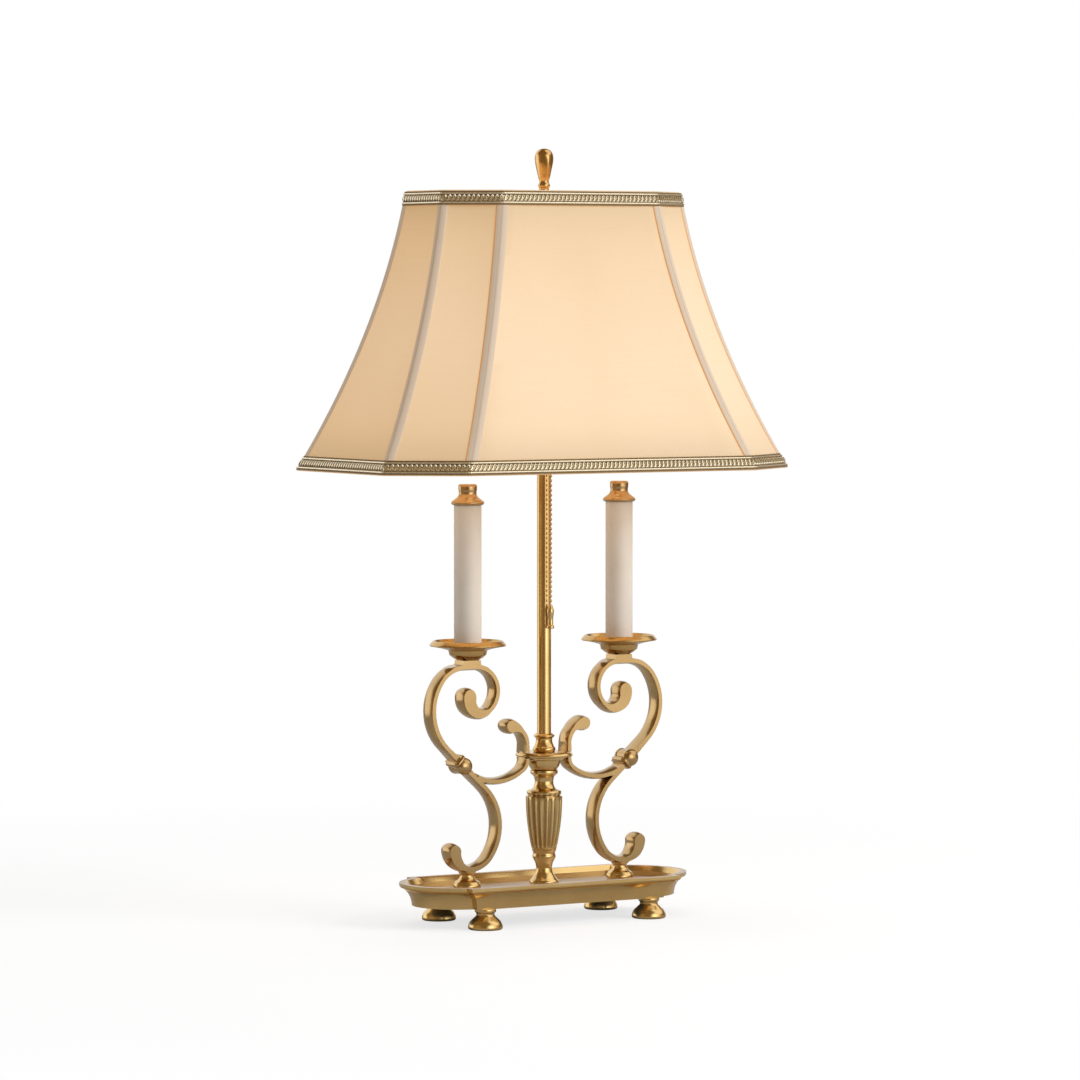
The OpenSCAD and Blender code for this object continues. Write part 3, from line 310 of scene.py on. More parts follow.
def candleIvory():
    f = Finish("ivory candle", Specular_IOR_Level=0.35, Subsurface_Weight=0.12,
               Subsurface_Scale=4 * mm, Subsurface_Radius=(1.0, 0.6, 0.35))
    cloud = f.noise(22.0, 3.0, 0.6)
    tone = f.mix(cloud.step(0.25, 0.8), candle["ivory"], candle["cloudy"])
    # painted light: the upper part of the candle is warmed as if by the shade's glow
    tone = f.mix(f.z.step(*candle["litHeights"]) * candle["litShare"], tone, candle["lit"])
    f.set(Base_Color=tone, Roughness=candle["roughness"] + (cloud - 0.5) * 0.1)
    f.bump(f.noise(90.0, 4.0, 0.6, f.stretched(1, 1, 0.25)), 0.25, 0.2 * mm)
    return f.material


bulb = {
    "base": linear(176, 170, 150),
    "glass": linear(255, 246, 226),
    "light": linear(255, 222, 160),
    "strength": 1.1,
    "neck": (0.0436, 0.0448),           # how far from the middle the metal base ends
}


def frostedBulb():
    f = Finish("frosted glass", Specular_IOR_Level=0.5, Emission_Strength=bulb["strength"])
    glass = f.x.absolute().step(*bulb["neck"])
    cloud = f.noise(60.0)
    f.set(Base_Color=f.mix(glass, bulb["base"], bulb["glass"]),
          Emission_Color=f.mix(glass, (0.0, 0.0, 0.0), bulb["light"]),
          Metallic=1.0 - glass, Roughness=0.3 + cloud * 0.1)
    return f.material


ivory = candleIvory()
bulbGlass = frostedBulb()


# what every piece goes through: selecting, joining, smoothing, and standing in for its CAD node

def activate(piece):
    bpy.ops.object.select_all(action="DESELECT")
    piece.select_set(True)
    bpy.context.view_layer.objects.active = piece


def joined(name, pieces):
    bpy.ops.object.select_all(action="DESELECT")
    for piece in pieces:
        piece.select_set(True)
    bpy.context.view_layer.objects.active = pieces[0]
    bpy.ops.object.join()
    whole = bpy.context.object
    whole.name = whole.data.name = name
    return whole


def smoothed(piece, degrees):
    activate(piece)
    bpy.ops.object.shade_smooth_by_angle(angle=math.radians(degrees))
    bpy.ops.object.select_all(action="DESELECT")


def evenShading(piece):
    # large faces keep their own normal, and the roundings between them take up the turn
    activate(piece)
    weighted = piece.modifiers.new("weighted", "WEIGHTED_NORMAL")
    weighted.keep_sharp = True
    bpy.ops.object.modifier_apply(modifier="weighted")
    bpy.ops.object.select_all(action="DESELECT")


def bodyOf(node):
    for body, members in frame["record"]["behaviour"]["bodies"].items():
        if node in members:
            return body


def slotOf(node):
    for part in frame["record"]["subparts"]:
        if part["node"] == node:
            return part["material_slot"]


def standIn(piece, node):
    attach(piece, bodyOf(node))
    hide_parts(node)
    slotOf(node)


def dress(piece, material, node):
    piece.data.materials.clear()
    piece.data.materials.append(material)
    standIn(piece, node)


# CAD pieces that keep their shape: a merged copy with rounded edges and a finish

edges = {
    "weld": 0.002 * mm,
    "flat": 0.4,                # degrees: faces that turn less than this become one
    "sharp": 38,                # degrees: edges that turn more than this are rounded
    "segments": 2,
}


def rounded(piece, width):
    activate(piece)
    rounding = piece.modifiers.new("rounding", "BEVEL")
    rounding.width = width
    rounding.segments = edges["segments"]
    rounding.limit_method = "ANGLE"
    rounding.angle_limit = math.radians(edges["sharp"])
    bpy.ops.object.modifier_apply(modifier="rounding")


def merged(node, name, width=0.0, smooth=32.0, even=True):
    copy = nodes[node].copy()
    copy.data = nodes[node].data.copy()
    copy.name = name
    copy.parent = None
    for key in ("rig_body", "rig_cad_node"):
        if key in copy:
            del copy[key]
    bpy.context.scene.collection.objects.link(copy)
    activate(copy)
    bpy.ops.mesh.customdata_custom_splitnormals_clear()
    bpy.ops.object.mode_set(mode="EDIT")
    bpy.ops.mesh.select_all(action="SELECT")
    bpy.ops.mesh.remove_doubles(threshold=edges["weld"])
    bpy.ops.mesh.dissolve_limited(angle_limit=math.radians(edges["flat"]))
    bpy.ops.object.mode_set(mode="OBJECT")
    if width:
        rounded(copy, width)
    smoothed(copy, smooth)
    if even:
        evenShading(copy)
    return copy


metalPieces = {
    # node: (rounding in mm, finish)
    "foot_front_left": (0.3, darkBrass), "foot_front_right": (0.3, darkBrass),
    "foot_back_left": (0.3, darkBrass), "foot_back_right": (0.3, darkBrass),
    "foot_screws": (0.3, steel), "base_plate": (0.2, steel), "base_weight": (0.5, castIron),
    "tray": (0.3, trayBrass), "cord_bushing": (0.3, blackRubber),
    "pipe_nut": (0.3, brassFinish), "pipe_washer": (0.1, steel),
    "threaded_pipe": (0.2, brassFinish), "lead_wires": (0.0, leadCover),
    "column": (0.25, flutedBrass), "collar": (0.3, brassFinish),
    "stem_socket": (0.25, brassFinish), "stem_tube": (0.1, brassFinish),
    "pedestal_left": (0.25, brassFinish), "pedestal_right": (0.25, brassFinish),
    "arm_screws": (0.3, steel), "drip_pan_left": (0.3, panBrass),
    "drip_pan_right": (0.3, panBrass), "candle_rods": (0.2, steel),
    "candle_left": (0.3, ivory), "candle_right": (0.3, ivory),
    "candle_cap_left": (0.3, capBrass), "candle_cap_right": (0.3, capBrass),
    "cluster_body": (0.3, capBrass), "cluster_cap": (0.3, capBrass),
    "switch_frame": (0.2, fibre), "switch_drum": (0.2, fibre),
    "chain_bushing": (0.2, capBrass), "chain_link": (0.0, capBrass),
    "pull_chain": (0.0, capBrass), "chain_pull": (0.15, capBrass),
    "lamp_holder_left": (0.6, porcelain), "lamp_holder_right": (0.6, porcelain),
    "bulb_left": (0.2, bulbGlass), "bulb_right": (0.2, bulbGlass),
    "shade_rod": (0.1, brassFinish), "spider_nut": (0.4, brassFinish),
    "shade_frame": (0.0, steel), "spider": (0.2, steel),
}
turnedPieces = ("foot_", "column", "collar", "stem_socket", "pedestal_", "drip_pan_",
                "candle_cap_", "chain_pull")
for node, (rounding, material) in metalPieces.items():
    isTurned = node.startswith(turnedPieces)
    piece = merged(node, node + "_finished", rounding * mm, 42.0 if isTurned else 32.0,
                   not isTurned)
    dress(piece, material, node)
print("metal, candles and light cluster dressed")


# scroll arms: cast bars whose sides swell between the flat front and back

arm = {
    "levels": (1.2, 3.4, 5.6, 7.4),     # mm from the middle, where the sides are cut to be shaped
    "halves": (2.4 * mm, 6.4 * mm),     # half thickness of the bar and of a tip
    "swell": (1.15 * mm, 0.2 * mm),     # how far a bar's and a tip's side stands out halfway
    "inset": (0.45 * mm, 1.1 * mm),     # how far it draws in at the front and back
    "thick": 8.2 * mm,                  # a fork or a pad is thicker than this, shaped as a bar
    "power": 2.3,
    "gradual": 10,                      # rounds that even out the change from bar to tip
    "foot": (0.4 * mm, 1.5 * mm),       # flat end left alone, on an arm and on a curl
    "pad": 6.5 * mm,                    # the same at an arm's top
    "edge": 0.4 * mm,
    "smooth": 30,
    "ringFace": 10.4 * mm,              # how far the flat ring beside the knot reaches
    "flatRing": (2.4 * mm, 7 * mm),     # half its length along the bar, half its width
    "barWidth": 4.2 * mm,
    "shrink": 0.8,
    "ring": (3.1 * mm, 11.3 * mm, 6.9 * mm),    # half sizes along, front to back and across
    "ringPower": 4.0,
    "knot": (11.2 * mm, 14.0 * mm),     # the shaping fades out here, near the knot's ring
    "ball": (7.7 * mm, 5.1 * mm, 7.2 * mm),     # radius, depth, distance from the middle
}


def limited(value):
    return min(max(value, 0), 1)


def between(pair, share):
    return pair[0] + (pair[1] - pair[0]) * share


def sideNormal(vertex):
    normal = Vector()
    for face in vertex.link_faces:
        if abs(face.normal.y) < 0.2:
            normal += face.normal * face.calc_area()
    normal.y = 0
    return normal.normalized() if normal.length > 1e-12 else None


def middleOf(points):
    middle = sum(points, Vector()) / len(points)
    return Vector((middle.x, 0, middle.z))


def acrossBar(along):
    return Vector((-along.z, 0, along.x))


def knotRing(middle, along):
    # a rounded ring round the bar, in place of the flat one
    size, power = arm["ring"], arm["ringPower"]
    bpy.ops.mesh.primitive_uv_sphere_add(segments=48, ring_count=24, radius=1)
    ring = bpy.context.object
    for v in ring.data.vertices:
        turn = math.atan2(v.co.y, v.co.x)
        reach = max(1 - v.co.z ** 2, 0) ** (1 / power)
        deep, wide = (math.copysign(abs(k) ** (2 / power), k) * reach
                      for k in (math.cos(turn), math.sin(turn)))
        v.co = (middle + along * v.co.z * size[0] + Vector((0, deep * size[1], 0))
                + acrossBar(along) * wide * size[2])
    bpy.ops.object.mode_set(mode="EDIT")
    bpy.ops.mesh.select_all(action="SELECT")
    bpy.ops.mesh.normals_make_consistent(inside=False)
    bpy.ops.object.mode_set(mode="OBJECT")
    bpy.ops.object.shade_smooth()
    return ring


def knotBall(middle, side):
    # the knot ends in a low dome at the front and at the back
    radius, depth, out = arm["ball"]
    bpy.ops.mesh.primitive_uv_sphere_add(segments=40, ring_count=20, radius=1,
                                         rotation=(math.radians(90), 0, 0))
    ball = bpy.context.object
    bpy.ops.object.transform_apply(rotation=True)
    for v in ball.data.vertices:
        v.co = (middle.x + v.co.x * radius, side * out + v.co.y * depth,
                middle.z + v.co.z * radius)
    bpy.ops.object.shade_smooth()
    return ball


def shrinkFlatRing(shape, middle, along, halfDepth):
    # the flat ring shrinks until the rounded one covers it
    for v in shape.verts:
        offset = v.co - middle
        lengthwise, across = abs(offset.dot(along)), abs(offset.dot(acrossBar(along)))
        standsOut = abs(v.co.y) > halfDepth + 0.05 * mm or across > arm["barWidth"]
        if lengthwise < arm["flatRing"][0] and across < arm["flatRing"][1] and standsOut:
            v.co = middle + offset * arm["shrink"]


def halfThickness(piece, vertex, normal):
    # a ray through the bar finds its other side
    inwards = Vector((0, math.copysign(0.05 * mm, vertex.co.y), 0))
    start = vertex.co - normal * close - inwards
    hit, place, _, _ = piece.ray_cast(start, -normal)
    thickness = (place - start).length / 2 if hit else arm["halves"][0]
    return thickness if thickness < arm["thick"] else arm["halves"][0]


def shapeSides(piece, shape, halfDepth, knot):
    lowest, highest = min(v.co.z for v in shape.verts), max(v.co.z for v in shape.verts)
    flatFoot = lowest + arm["foot"][0 if knot else 1]
    flatTop = highest - arm["pad"] if knot else math.inf
    outwards, half = {}, {}
    for v in shape.verts:
        normal = sideNormal(v)
        flatEnd = v.co.z < flatFoot or v.co.z > flatTop
        if flatEnd or normal is None or abs(v.co.y) > halfDepth + close:
            continue
        outwards[v] = normal
        half[v] = halfThickness(piece, v, normal)
    near = {v: [w for w in (e.other_vert(v) for e in v.link_edges) if w in half] for v in half}
    for _ in range(arm["gradual"]):
        half = {v: (h + sum(half[w] for w in near[v]) / len(near[v])) / 2 if near[v] else h
                for v, h in half.items()}
    barHalf, tipHalf = arm["halves"]
    for v, normal in outwards.items():
        tip = limited((half[v] - barHalf) / (tipHalf - barHalf))
        reach = (abs(v.co.y) / halfDepth) ** arm["power"]
        shown = 1.0
        if knot:
            away = math.hypot(v.co.x - knot.x, v.co.z - knot.z)
            shown = limited((away - arm["knot"][0]) / (arm["knot"][1] - arm["knot"][0]))
        out = between(arm["swell"], tip) * (1 - reach) - between(arm["inset"], tip) * reach
        v.co += normal * out * shown


def castArm(node):
    piece = merged(node, node + "_cast")
    activate(piece)
    bpy.ops.mesh.customdata_custom_splitnormals_clear()
    bpy.ops.object.mode_set(mode="EDIT")
    for level in arm["levels"]:
        for side in (-1, 1):
            bpy.ops.mesh.select_all(action="SELECT")
            bpy.ops.mesh.bisect(plane_co=(0, side * level * mm, 0), plane_no=(0, 1, 0))
    bpy.ops.object.mode_set(mode="OBJECT")
    shape = bmesh.new()
    shape.from_mesh(piece.data)
    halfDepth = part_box("curl_left")[1][1]
    deepest = max(abs(v.co.y) for v in shape.verts)
    knot = None
    if deepest > halfDepth + 1 * mm:        # an arm has a knot, and a curl has none
        knot = middleOf([v.co for v in shape.verts if abs(v.co.y) > deepest - close])
        ring = middleOf([v.co for v in shape.verts
                         if abs(abs(v.co.y) - arm["ringFace"]) < close])
        along = (ring - knot).normalized()
        shrinkFlatRing(shape, ring, along, halfDepth)
    shapeSides(piece, shape, halfDepth, knot)
    shape.to_mesh(piece.data)
    shape.free()
    rounded(piece, arm["edge"])
    smoothed(piece, arm["smooth"])
    evenShading(piece)
    if knot:
        added = [knotRing(ring, along)] + [knotBall(knot, side) for side in (-1, 1)]
        piece = joined(piece.name, [piece] + added)
    dress(piece, castBrass, node)


for node in ("arm_left", "arm_right", "curl_left", "curl_right"):
    castArm(node)
print("scroll arms cast")


# shade: its outline is read from the frame

shade = {
    "columns": 12,              # faces across one panel
    "rows": 40,                 # faces from the lower edge to the upper one
    "hollow": 1.8 * mm,         # how far the stretched silk draws in between two ribs
    "thickness": 1.0 * mm,
    "smooth": 40,
    "silk": (0.585, 0.565, 0.475),
    "silkDeep": (0.50, 0.46, 0.355),
    # painted light: emission colours that stand in for the bulbs' light shining through the silk
    "glow": (0.44, 0.208, 0.028),
    "hotGlow": (0.56, 0.33, 0.15),
    "hotSpot": (0.07, 0.20),    # distances from a bulb over which the hot glow fades
    "lining": linear(244, 236, 216),
    "liningInset": 4.2 * mm,
    "liningThickness": 0.8 * mm,
    # painted light: the lining's glow from the bulbs
    "liningGlow": (0.42, 0.28, 0.17),
    "liningSpot": (0.07, 0.24),
    "slope": 1.1,               # the cloth is this much longer than the shade is high
}
ribs = 8
lowEdge, highEdge = (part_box("shade_cover")[k][2] for k in (0, 1))
shadeHeight = highEdge - lowEdge


def readOutline(z):
    # half length, half width and the cut corner of the silk at one height
    ring = [v.co for v in nodes["shade_cover"].data.vertices if abs(v.co.z - z) < close]
    halfX, halfY = max(p.x for p in ring), max(p.y for p in ring)
    cutY = halfY - max(p.y for p in ring if halfX - p.x < close)
    cutX = halfX - max(p.x for p in ring if halfY - p.y < close)
    return halfX, halfY, cutX, cutY


heights = sorted({round(v.co.z, 6) for v in nodes["shade_cover"].data.vertices})
middleHeight = heights[len(heights) // 2]
lowOutline, highOutline = readOutline(lowEdge), readOutline(highEdge)
middleFall = 1 - (middleHeight - lowEdge) / shadeHeight
middleSpread = ((readOutline(middleHeight)[0] - highOutline[0])
                / (lowOutline[0] - highOutline[0]))
flare = (middleSpread - middleFall) / (middleFall * middleFall - middleFall)


def corners(share, out):
    # the eight corners at a share of the height, moved outwards
    fall = 1 - share
    spread = fall * (1 - flare) + fall * fall * flare
    x, y, cutX, cutY = (a + (b - a) * spread for a, b in zip(highOutline, lowOutline))
    run = math.hypot(cutX, cutY)
    nx, ny = cutY / run, cutX / run
    x, y = x + out, y + out
    cutX += out - out * (1 - ny) / nx
    cutY += out - out * (1 - nx) / ny
    flat = [(x, cutY - y), (x, y - cutY), (x - cutX, y), (cutX - x, y),
            (-x, y - cutY), (-x, cutY - y), (cutX - x, -y), (x - cutX, -y)]
    return [Vector((*c, lowEdge + shadeHeight * share)) for c in flat]


def onShade(lap, share, out):
    # lap counts panels round the shade; between two ribs the cloth draws in a little
    ring = corners(share, out)
    panel = math.floor(lap)
    across = lap - panel
    start, end = ring[panel % ribs], ring[(panel + 1) % ribs]
    inward = (end - start).cross(Vector((0, 0, -1))).normalized()
    rise = max(0.0, math.sin(math.pi * limited(share)))
    drawn = shade["hollow"] * 4 * across * (1 - across) * rise ** 0.5
    return start.lerp(end, across) + inward * drawn


def wrapped(name, rows, columns, place):
    # a grid moved to place(row, column), a point and its uv; edges that meet are joined
    bpy.ops.mesh.primitive_grid_add(x_subdivisions=columns, y_subdivisions=rows, size=1)
    piece = bpy.context.object
    piece.name = piece.data.name = name
    spots = {}
    for vertex in piece.data.vertices:
        column = round((vertex.co.x + 0.5) * columns)
        row = round((vertex.co.y + 0.5) * rows)
        point, spots[vertex.index] = place(row, column)
        vertex.co = point
    uv = piece.data.uv_layers.active.data
    for loop in piece.data.loops:
        uv[loop.index].uv = spots[loop.vertex_index]
    bpy.ops.object.mode_set(mode="EDIT")
    bpy.ops.mesh.select_all(action="SELECT")
    bpy.ops.mesh.remove_doubles(threshold=0.004 * mm)
    bpy.ops.mesh.normals_make_consistent(inside=False)
    bpy.ops.object.mode_set(mode="OBJECT")
    return piece


def thicken(piece, thickness, offset=-1.0):
    activate(piece)
    wall = piece.modifiers.new("wall", "SOLIDIFY")
    wall.thickness = thickness
    wall.offset = offset
    wall.use_even_offset = True
    bpy.ops.object.modifier_apply(modifier="wall")


def faceOutwards(piece):
    # an open band has no inside, so its faces are turned away from the middle of the shade
    first = piece.data.polygons[0]
    if first.normal.x * first.center.x + first.normal.y * first.center.y < 0:
        piece.data.flip_normals()


def clothBand(name, low, high, out, thickness):
    rows, columns = shade["rows"], ribs * shade["columns"]

    def place(row, column):
        share = low + (high - low) * row / rows
        return onShade(column / shade["columns"], share, out), (column / columns, share)
    piece = wrapped(name, rows, columns, place)
    faceOutwards(piece)
    flatArea = sum(face.area for face in piece.data.polygons)
    thicken(piece, thickness)
    return piece, flatArea


def bulbGlow(f, nearest, farthest):
    # how much painted bulb light falls on the cloth: 1 where the cloth is nearest to a bulb, 0
    # where it is far from both
    spread = None
    for node in ("bulb_left", "bulb_right"):
        low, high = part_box(node)
        away = f.node("ShaderNodeVectorMath", {"operation": "DISTANCE"})
        f.tree.links.new(f.place, away.inputs[0])
        away.inputs[1].default_value = [(a + b) / 2 for a, b in zip(low, high)]
        near = 1.0 - Flow(f.tree, away.outputs["Value"]).step(nearest, farthest)
        spread = near if spread is None else spread.larger(near)
    return spread


def shadeSilk():
    f = Finish("shade silk", Sheen_Weight=0.08, Sheen_Roughness=0.5, Emission_Strength=1.0,
               Specular_IOR_Level=0.25)
    threads = f.noise(900.0, 2.0, 0.6, f.stretched(1.0, 1.0, 0.035))
    wefts = f.noise(900.0, 2.0, 0.6, f.stretched(0.03, 0.03, 1.0))
    slubs = f.noise(160.0, 2.0, 0.5, f.stretched(0.12, 0.12, 1.0)).step(0.58, 0.8)
    cloud = f.noise(9.0)
    weave = threads * 0.5 + wefts * 0.5
    worn = cloud.step(0.3, 0.8) * 0.22 + weave.step(0.45, 0.75) * 0.16 + slubs * 0.1
    # painted light: the silk glows as if lit through by the bulbs, hottest nearest them and dimmer
    # towards its edges
    glow = f.mix(bulbGlow(f, *shade["hotSpot"]), shade["glow"], shade["hotGlow"])
    inside = ((f.z - lowEdge) * (highEdge - f.z) / (shadeHeight * shadeHeight)).step(0.0, 0.16)
    glow = f.mix(inside, dimmed(shade["glow"], 0.8), glow)
    glow = f.mix(weave.step(0.4, 0.8) * 0.1, glow, dimmed(shade["glow"], 0.6))
    f.set(Base_Color=f.mix(worn, shade["silk"], shade["silkDeep"]), Emission_Color=glow,
          Roughness=0.62 + weave * 0.15)
    f.bump(weave + slubs * 0.4, 0.35, 0.12 * mm)
    return f.material


def liningCloth():
    f = Finish("shade lining", Sheen_Weight=0.1, Emission_Strength=1.0, Specular_IOR_Level=0.2)
    weave = f.noise(700.0, 2.0, 0.6, f.stretched(1.0, 1.0, 0.05))
    # painted light from the bulbs on the lining
    near = bulbGlow(f, *shade["liningSpot"])
    glow = f.mix(near, dimmed(shade["liningGlow"], 0.6), shade["liningGlow"])
    f.set(Base_Color=f.mix(weave.step(0.4, 0.7) * 0.15, shade["lining"], shade["silkDeep"]),
          Emission_Color=glow, Roughness=0.75 + weave * 0.1)
    f.bump(weave, 0.25, 0.1 * mm)
    return f.material


def sharesOf(node):
    # the heights between which a node stands, as shares of the shade's
    return ((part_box(node)[k][2] - lowEdge) / shadeHeight for k in (0, 1))


silkCloth = shadeSilk()
cover, coverArea = clothBand("silk_cover", 0.0, 1.0, 0.0, shade["thickness"])
smoothed(cover, shade["smooth"])
dress(cover, silkCloth, "shade_cover")
liningLow, liningHigh = sharesOf("shade_lining")
lining, liningArea = clothBand("silk_lining", liningLow, liningHigh, -shade["liningInset"],
                               shade["liningThickness"])
smoothed(lining, shade["smooth"])
dress(lining, liningCloth(), "shade_lining")
roundLow = sum((a - b).length for a, b in zip(corners(0, 0), corners(0, 0)[1:] + corners(0, 0)[:1]))
print("silk", round(coverArea, 4), "lining", round(liningArea, 4), "round", round(roundLow, 4))


# ribs: a tape folded over each corner, with a line of bare silk along one side; the line's orange
# colour and the tape's glow are painted light from the bulbs

tape = {
    # mm across the corner, and how far the tape stands off the silk there
    "section": [(-6.1, 0.10), (-5.1, 0.14), (-4.95, 0.62), (-3.2, 0.78), (-1.2, 0.72),
                (-0.4, 0.66), (0.4, 0.66), (1.2, 0.78), (3.4, 0.84), (5.2, 0.74), (5.9, 0.50),
                (6.1, 0.12)],
    "rows": 40,
    "tuck": 1.5 * mm,           # the ends go this far under the braid
    "fold": (1.0, 0.2, 0.25),   # half width in mm, share rounded off, mm drawn in
    "thickness": 0.18 * mm,
    "cloth": (0.74, 0.635, 0.51),
    # painted shade where the tape folds round the rib
    "crease": (0.50, 0.415, 0.32),
    # painted light: the bare silk's orange colour and the glows stand in for the bulbs' light
    # shining through
    "line": linear(206, 140, 70),
    "seam": (-5.3, -5.0),       # mm across, where the line of silk ends
    "glow": (0.14, 0.075, 0.032),
    "lineGlow": (0.36, 0.155, 0.035),
}


def tapeCloth():
    f = Finish("rib tape", Sheen_Weight=0.15, Emission_Strength=1.0, Specular_IOR_Level=0.25)
    uv = f.node("ShaderNodeUVMap").outputs["UV"]
    across = f.parts(uv)[0]
    seam = 1.0 - across.step(*tape["seam"])
    # painted shade over the middle of the tape, where it folds round the rib
    crease = (1.0 - (across + 0.6).absolute().step(0.1, 1.4)) * 0.55
    rep = f.noise(2.2, 2.0, 0.6, uv)
    tone = f.mix(crease + rep.step(0.4, 0.8) * 0.15, tape["cloth"], tape["crease"])
    # painted light: the line of bare silk is coloured and lit as if the bulbs shine through it
    f.set(Base_Color=f.mix(seam, tone, tape["line"]),
          Emission_Color=f.mix(seam, tape["glow"], tape["lineGlow"]),
          Roughness=0.7 + rep * 0.1)
    f.bump(rep, 0.3, 0.1 * mm)
    return f.material


def ribTape(corner):
    section, rows = tape["section"], tape["rows"]
    low, high = sharesOf("rib_tapes")
    tuck = tape["tuck"] / shadeHeight
    foldWidth, foldRound, foldDepth = tape["fold"]

    def place(row, column):
        share = low - tuck + (high - low + 2 * tuck) * row / rows
        ring = corners(share, 0)
        across, height = section[column]
        beside = ring[(corner + (1 if across > 0 else -1)) % ribs]
        run = (beside - ring[corner]).length
        lap = corner + math.copysign(abs(across) * mm / run, across)
        point = onShade(lap % ribs, share, height * mm)
        if abs(across) < foldWidth:         # the fold is round, not sharp
            point = point.lerp(onShade(corner, share, height * mm), foldRound)
            point -= Vector((point.x, point.y, 0)).normalized() * foldDepth * mm
        return point, (across, share * shadeHeight / mm)
    piece = wrapped(f"rib_tape_{corner + 1}", rows, len(section) - 1, place)
    faceOutwards(piece)
    thicken(piece, tape["thickness"])
    return piece


tapeMaterial = tapeCloth()
for corner in range(ribs):
    piece = ribTape(corner)
    smoothed(piece, shade["smooth"])
    dress(piece, tapeMaterial, "rib_tapes")
print("rib tapes folded")


# braid: cords along both edges of a woven band, and a row of scrolls of bright thread over it

braid = {
    "step": 3.0 * mm,           # between two frames on a straight side
    "corner": 3.2 * mm,         # how far from a corner the braid starts to turn
    # mm from the edge, radius in mm, cord
    "cords": [(0.65, 0.62, "brown"), (2.15, 0.92, "cream"), (3.45, 0.42, "brown"),
              (8.95, 0.42, "brown"), (10.25, 0.92, "cream"), (11.75, 0.6, "brown")],
    "cordLift": 0.32,           # mm off the silk, beyond the cord's radius
    "cordSides": 8,
    "groundLevels": [0.3, 2.2, 4.0, 5.2, 6.2, 7.2, 8.4, 10.2, 12.1],
    "groundLift": 0.45 * mm,
    "groundThickness": 0.4 * mm,
    "pitch": 4.1 * mm,
    "scrollLevel": 6.2,         # mm from the edge
    "scrollLift": 0.75 * mm,
    # mm along, up the slope and outwards
    "scroll": [(-2.0, -0.9, 0.1), (-0.9, -2.3, 0.5), (0.9, 2.3, 0.9), (2.0, 0.9, 0.3)],
    "scrollRadius": 0.62 * mm,
    "smooth": 60,
    "cream": (0.95, 0.82, 0.60),
    "brown": (0.34, 0.22, 0.10),
    "ground": (0.78, 0.63, 0.39),
    "bright": (1.0, 0.93, 0.76),
}


def bentRing(level, reference):
    # the points round the shade at one level, with each corner rounded off
    points = []
    for k in range(ribs):
        before, here, after = level[k - 1], level[k], level[(k + 1) % ribs]
        start = here + (before - here).normalized() * braid["corner"]
        end = here + (after - here).normalized() * braid["corner"]
        nextStart = after + (here - after).normalized() * braid["corner"]
        points += [start.lerp(here, s).lerp(here.lerp(end, s), s) for s in (0, 0.25, 0.5, 0.75)]
        count = round((reference[(k + 1) % ribs] - reference[k]).length / braid["step"])
        points += [end.lerp(nextStart, s / count) for s in range(count)]
    return points + points[:1]


def braidPath(distance, top, out):
    # frames round the shade at one level: point, along, up the slope, outwards, length so far
    share = distance * mm / shadeHeight
    share = 1 - share if top else share
    reference = corners(1.0 if top else 0.0, 0.0)
    here = bentRing(corners(share, out), reference)
    above = bentRing(corners(share + 0.01, out), reference)
    frames, length = [], 0.0
    for i, (point, over) in enumerate(zip(here, above)):
        before, after = here[i - 1 if i else -2], here[i + 1 if i + 1 < len(here) else 1]
        if i:
            length += (point - before).length
        along = (after - before).normalized()
        up = (over - point).normalized()
        frames.append((point, along, up, along.cross(up).normalized(), length))
    return frames


def braidCord(name, top, distance, radius):
    frames, sides = braidPath(distance, top, (radius + braid["cordLift"]) * mm), braid["cordSides"]

    def place(row, column):
        point, _, up, outwards, length = frames[column]
        angle = fullTurn * row / sides
        point = point + (outwards * math.cos(angle) + up * math.sin(angle)) * radius * mm
        return point, (length / mm, row / sides)
    return wrapped(name, sides, len(frames) - 1, place)


def braidGround(name, top):
    levels = braid["groundLevels"]
    paths = [braidPath(distance, top, braid["groundLift"]) for distance in levels]

    def place(row, column):
        return paths[row][column][0], (paths[row][column][4] / mm, levels[row])
    piece = wrapped(name, len(levels) - 1, len(paths[0]) - 1, place)
    faceOutwards(piece)
    thicken(piece, braid["groundThickness"], offset=0.0)
    return piece


def scroll():
    # one curl of thread, in its own frame: x along, y up the slope, z outwards
    bpy.ops.curve.primitive_bezier_curve_add(location=(0, 0, 0))
    curve = bpy.context.object
    spline = curve.data.splines[0]
    spline.bezier_points.add(len(braid["scroll"]) - 2)
    for point, stop in zip(spline.bezier_points, braid["scroll"]):
        point.co = [c * mm for c in stop]
        point.handle_left_type = point.handle_right_type = "AUTO"
    curve.data.bevel_depth = braid["scrollRadius"]
    curve.data.bevel_resolution = 0
    curve.data.resolution_u = 3
    curve.data.use_fill_caps = True
    activate(curve)
    bpy.ops.object.convert(target="MESH")
    return bpy.context.object


def braidScrolls(name, top):
    frames = braidPath(braid["scrollLevel"], top, braid["scrollLift"])
    total = frames[-1][4]
    count = round(total / braid["pitch"])
    first = scroll()
    copies, at = [], 0
    for i in range(count):
        wanted = total * (i + 0.5) / count
        while frames[at + 1][4] < wanted:
            at += 1
        here, following = frames[at], frames[at + 1]
        share = (wanted - here[4]) / (following[4] - here[4])
        point = here[0].lerp(following[0], share)
        axes = [here[k].lerp(following[k], share).normalized() for k in (1, 2, 3)]
        copy = first.copy()
        copy.data = first.data.copy()
        copy.data.transform(Matrix.Translation(point) @ Matrix(axes).transposed().to_4x4())
        bpy.context.scene.collection.objects.link(copy)
        copies.append(copy)
    bpy.data.objects.remove(first)
    return joined(name, copies)


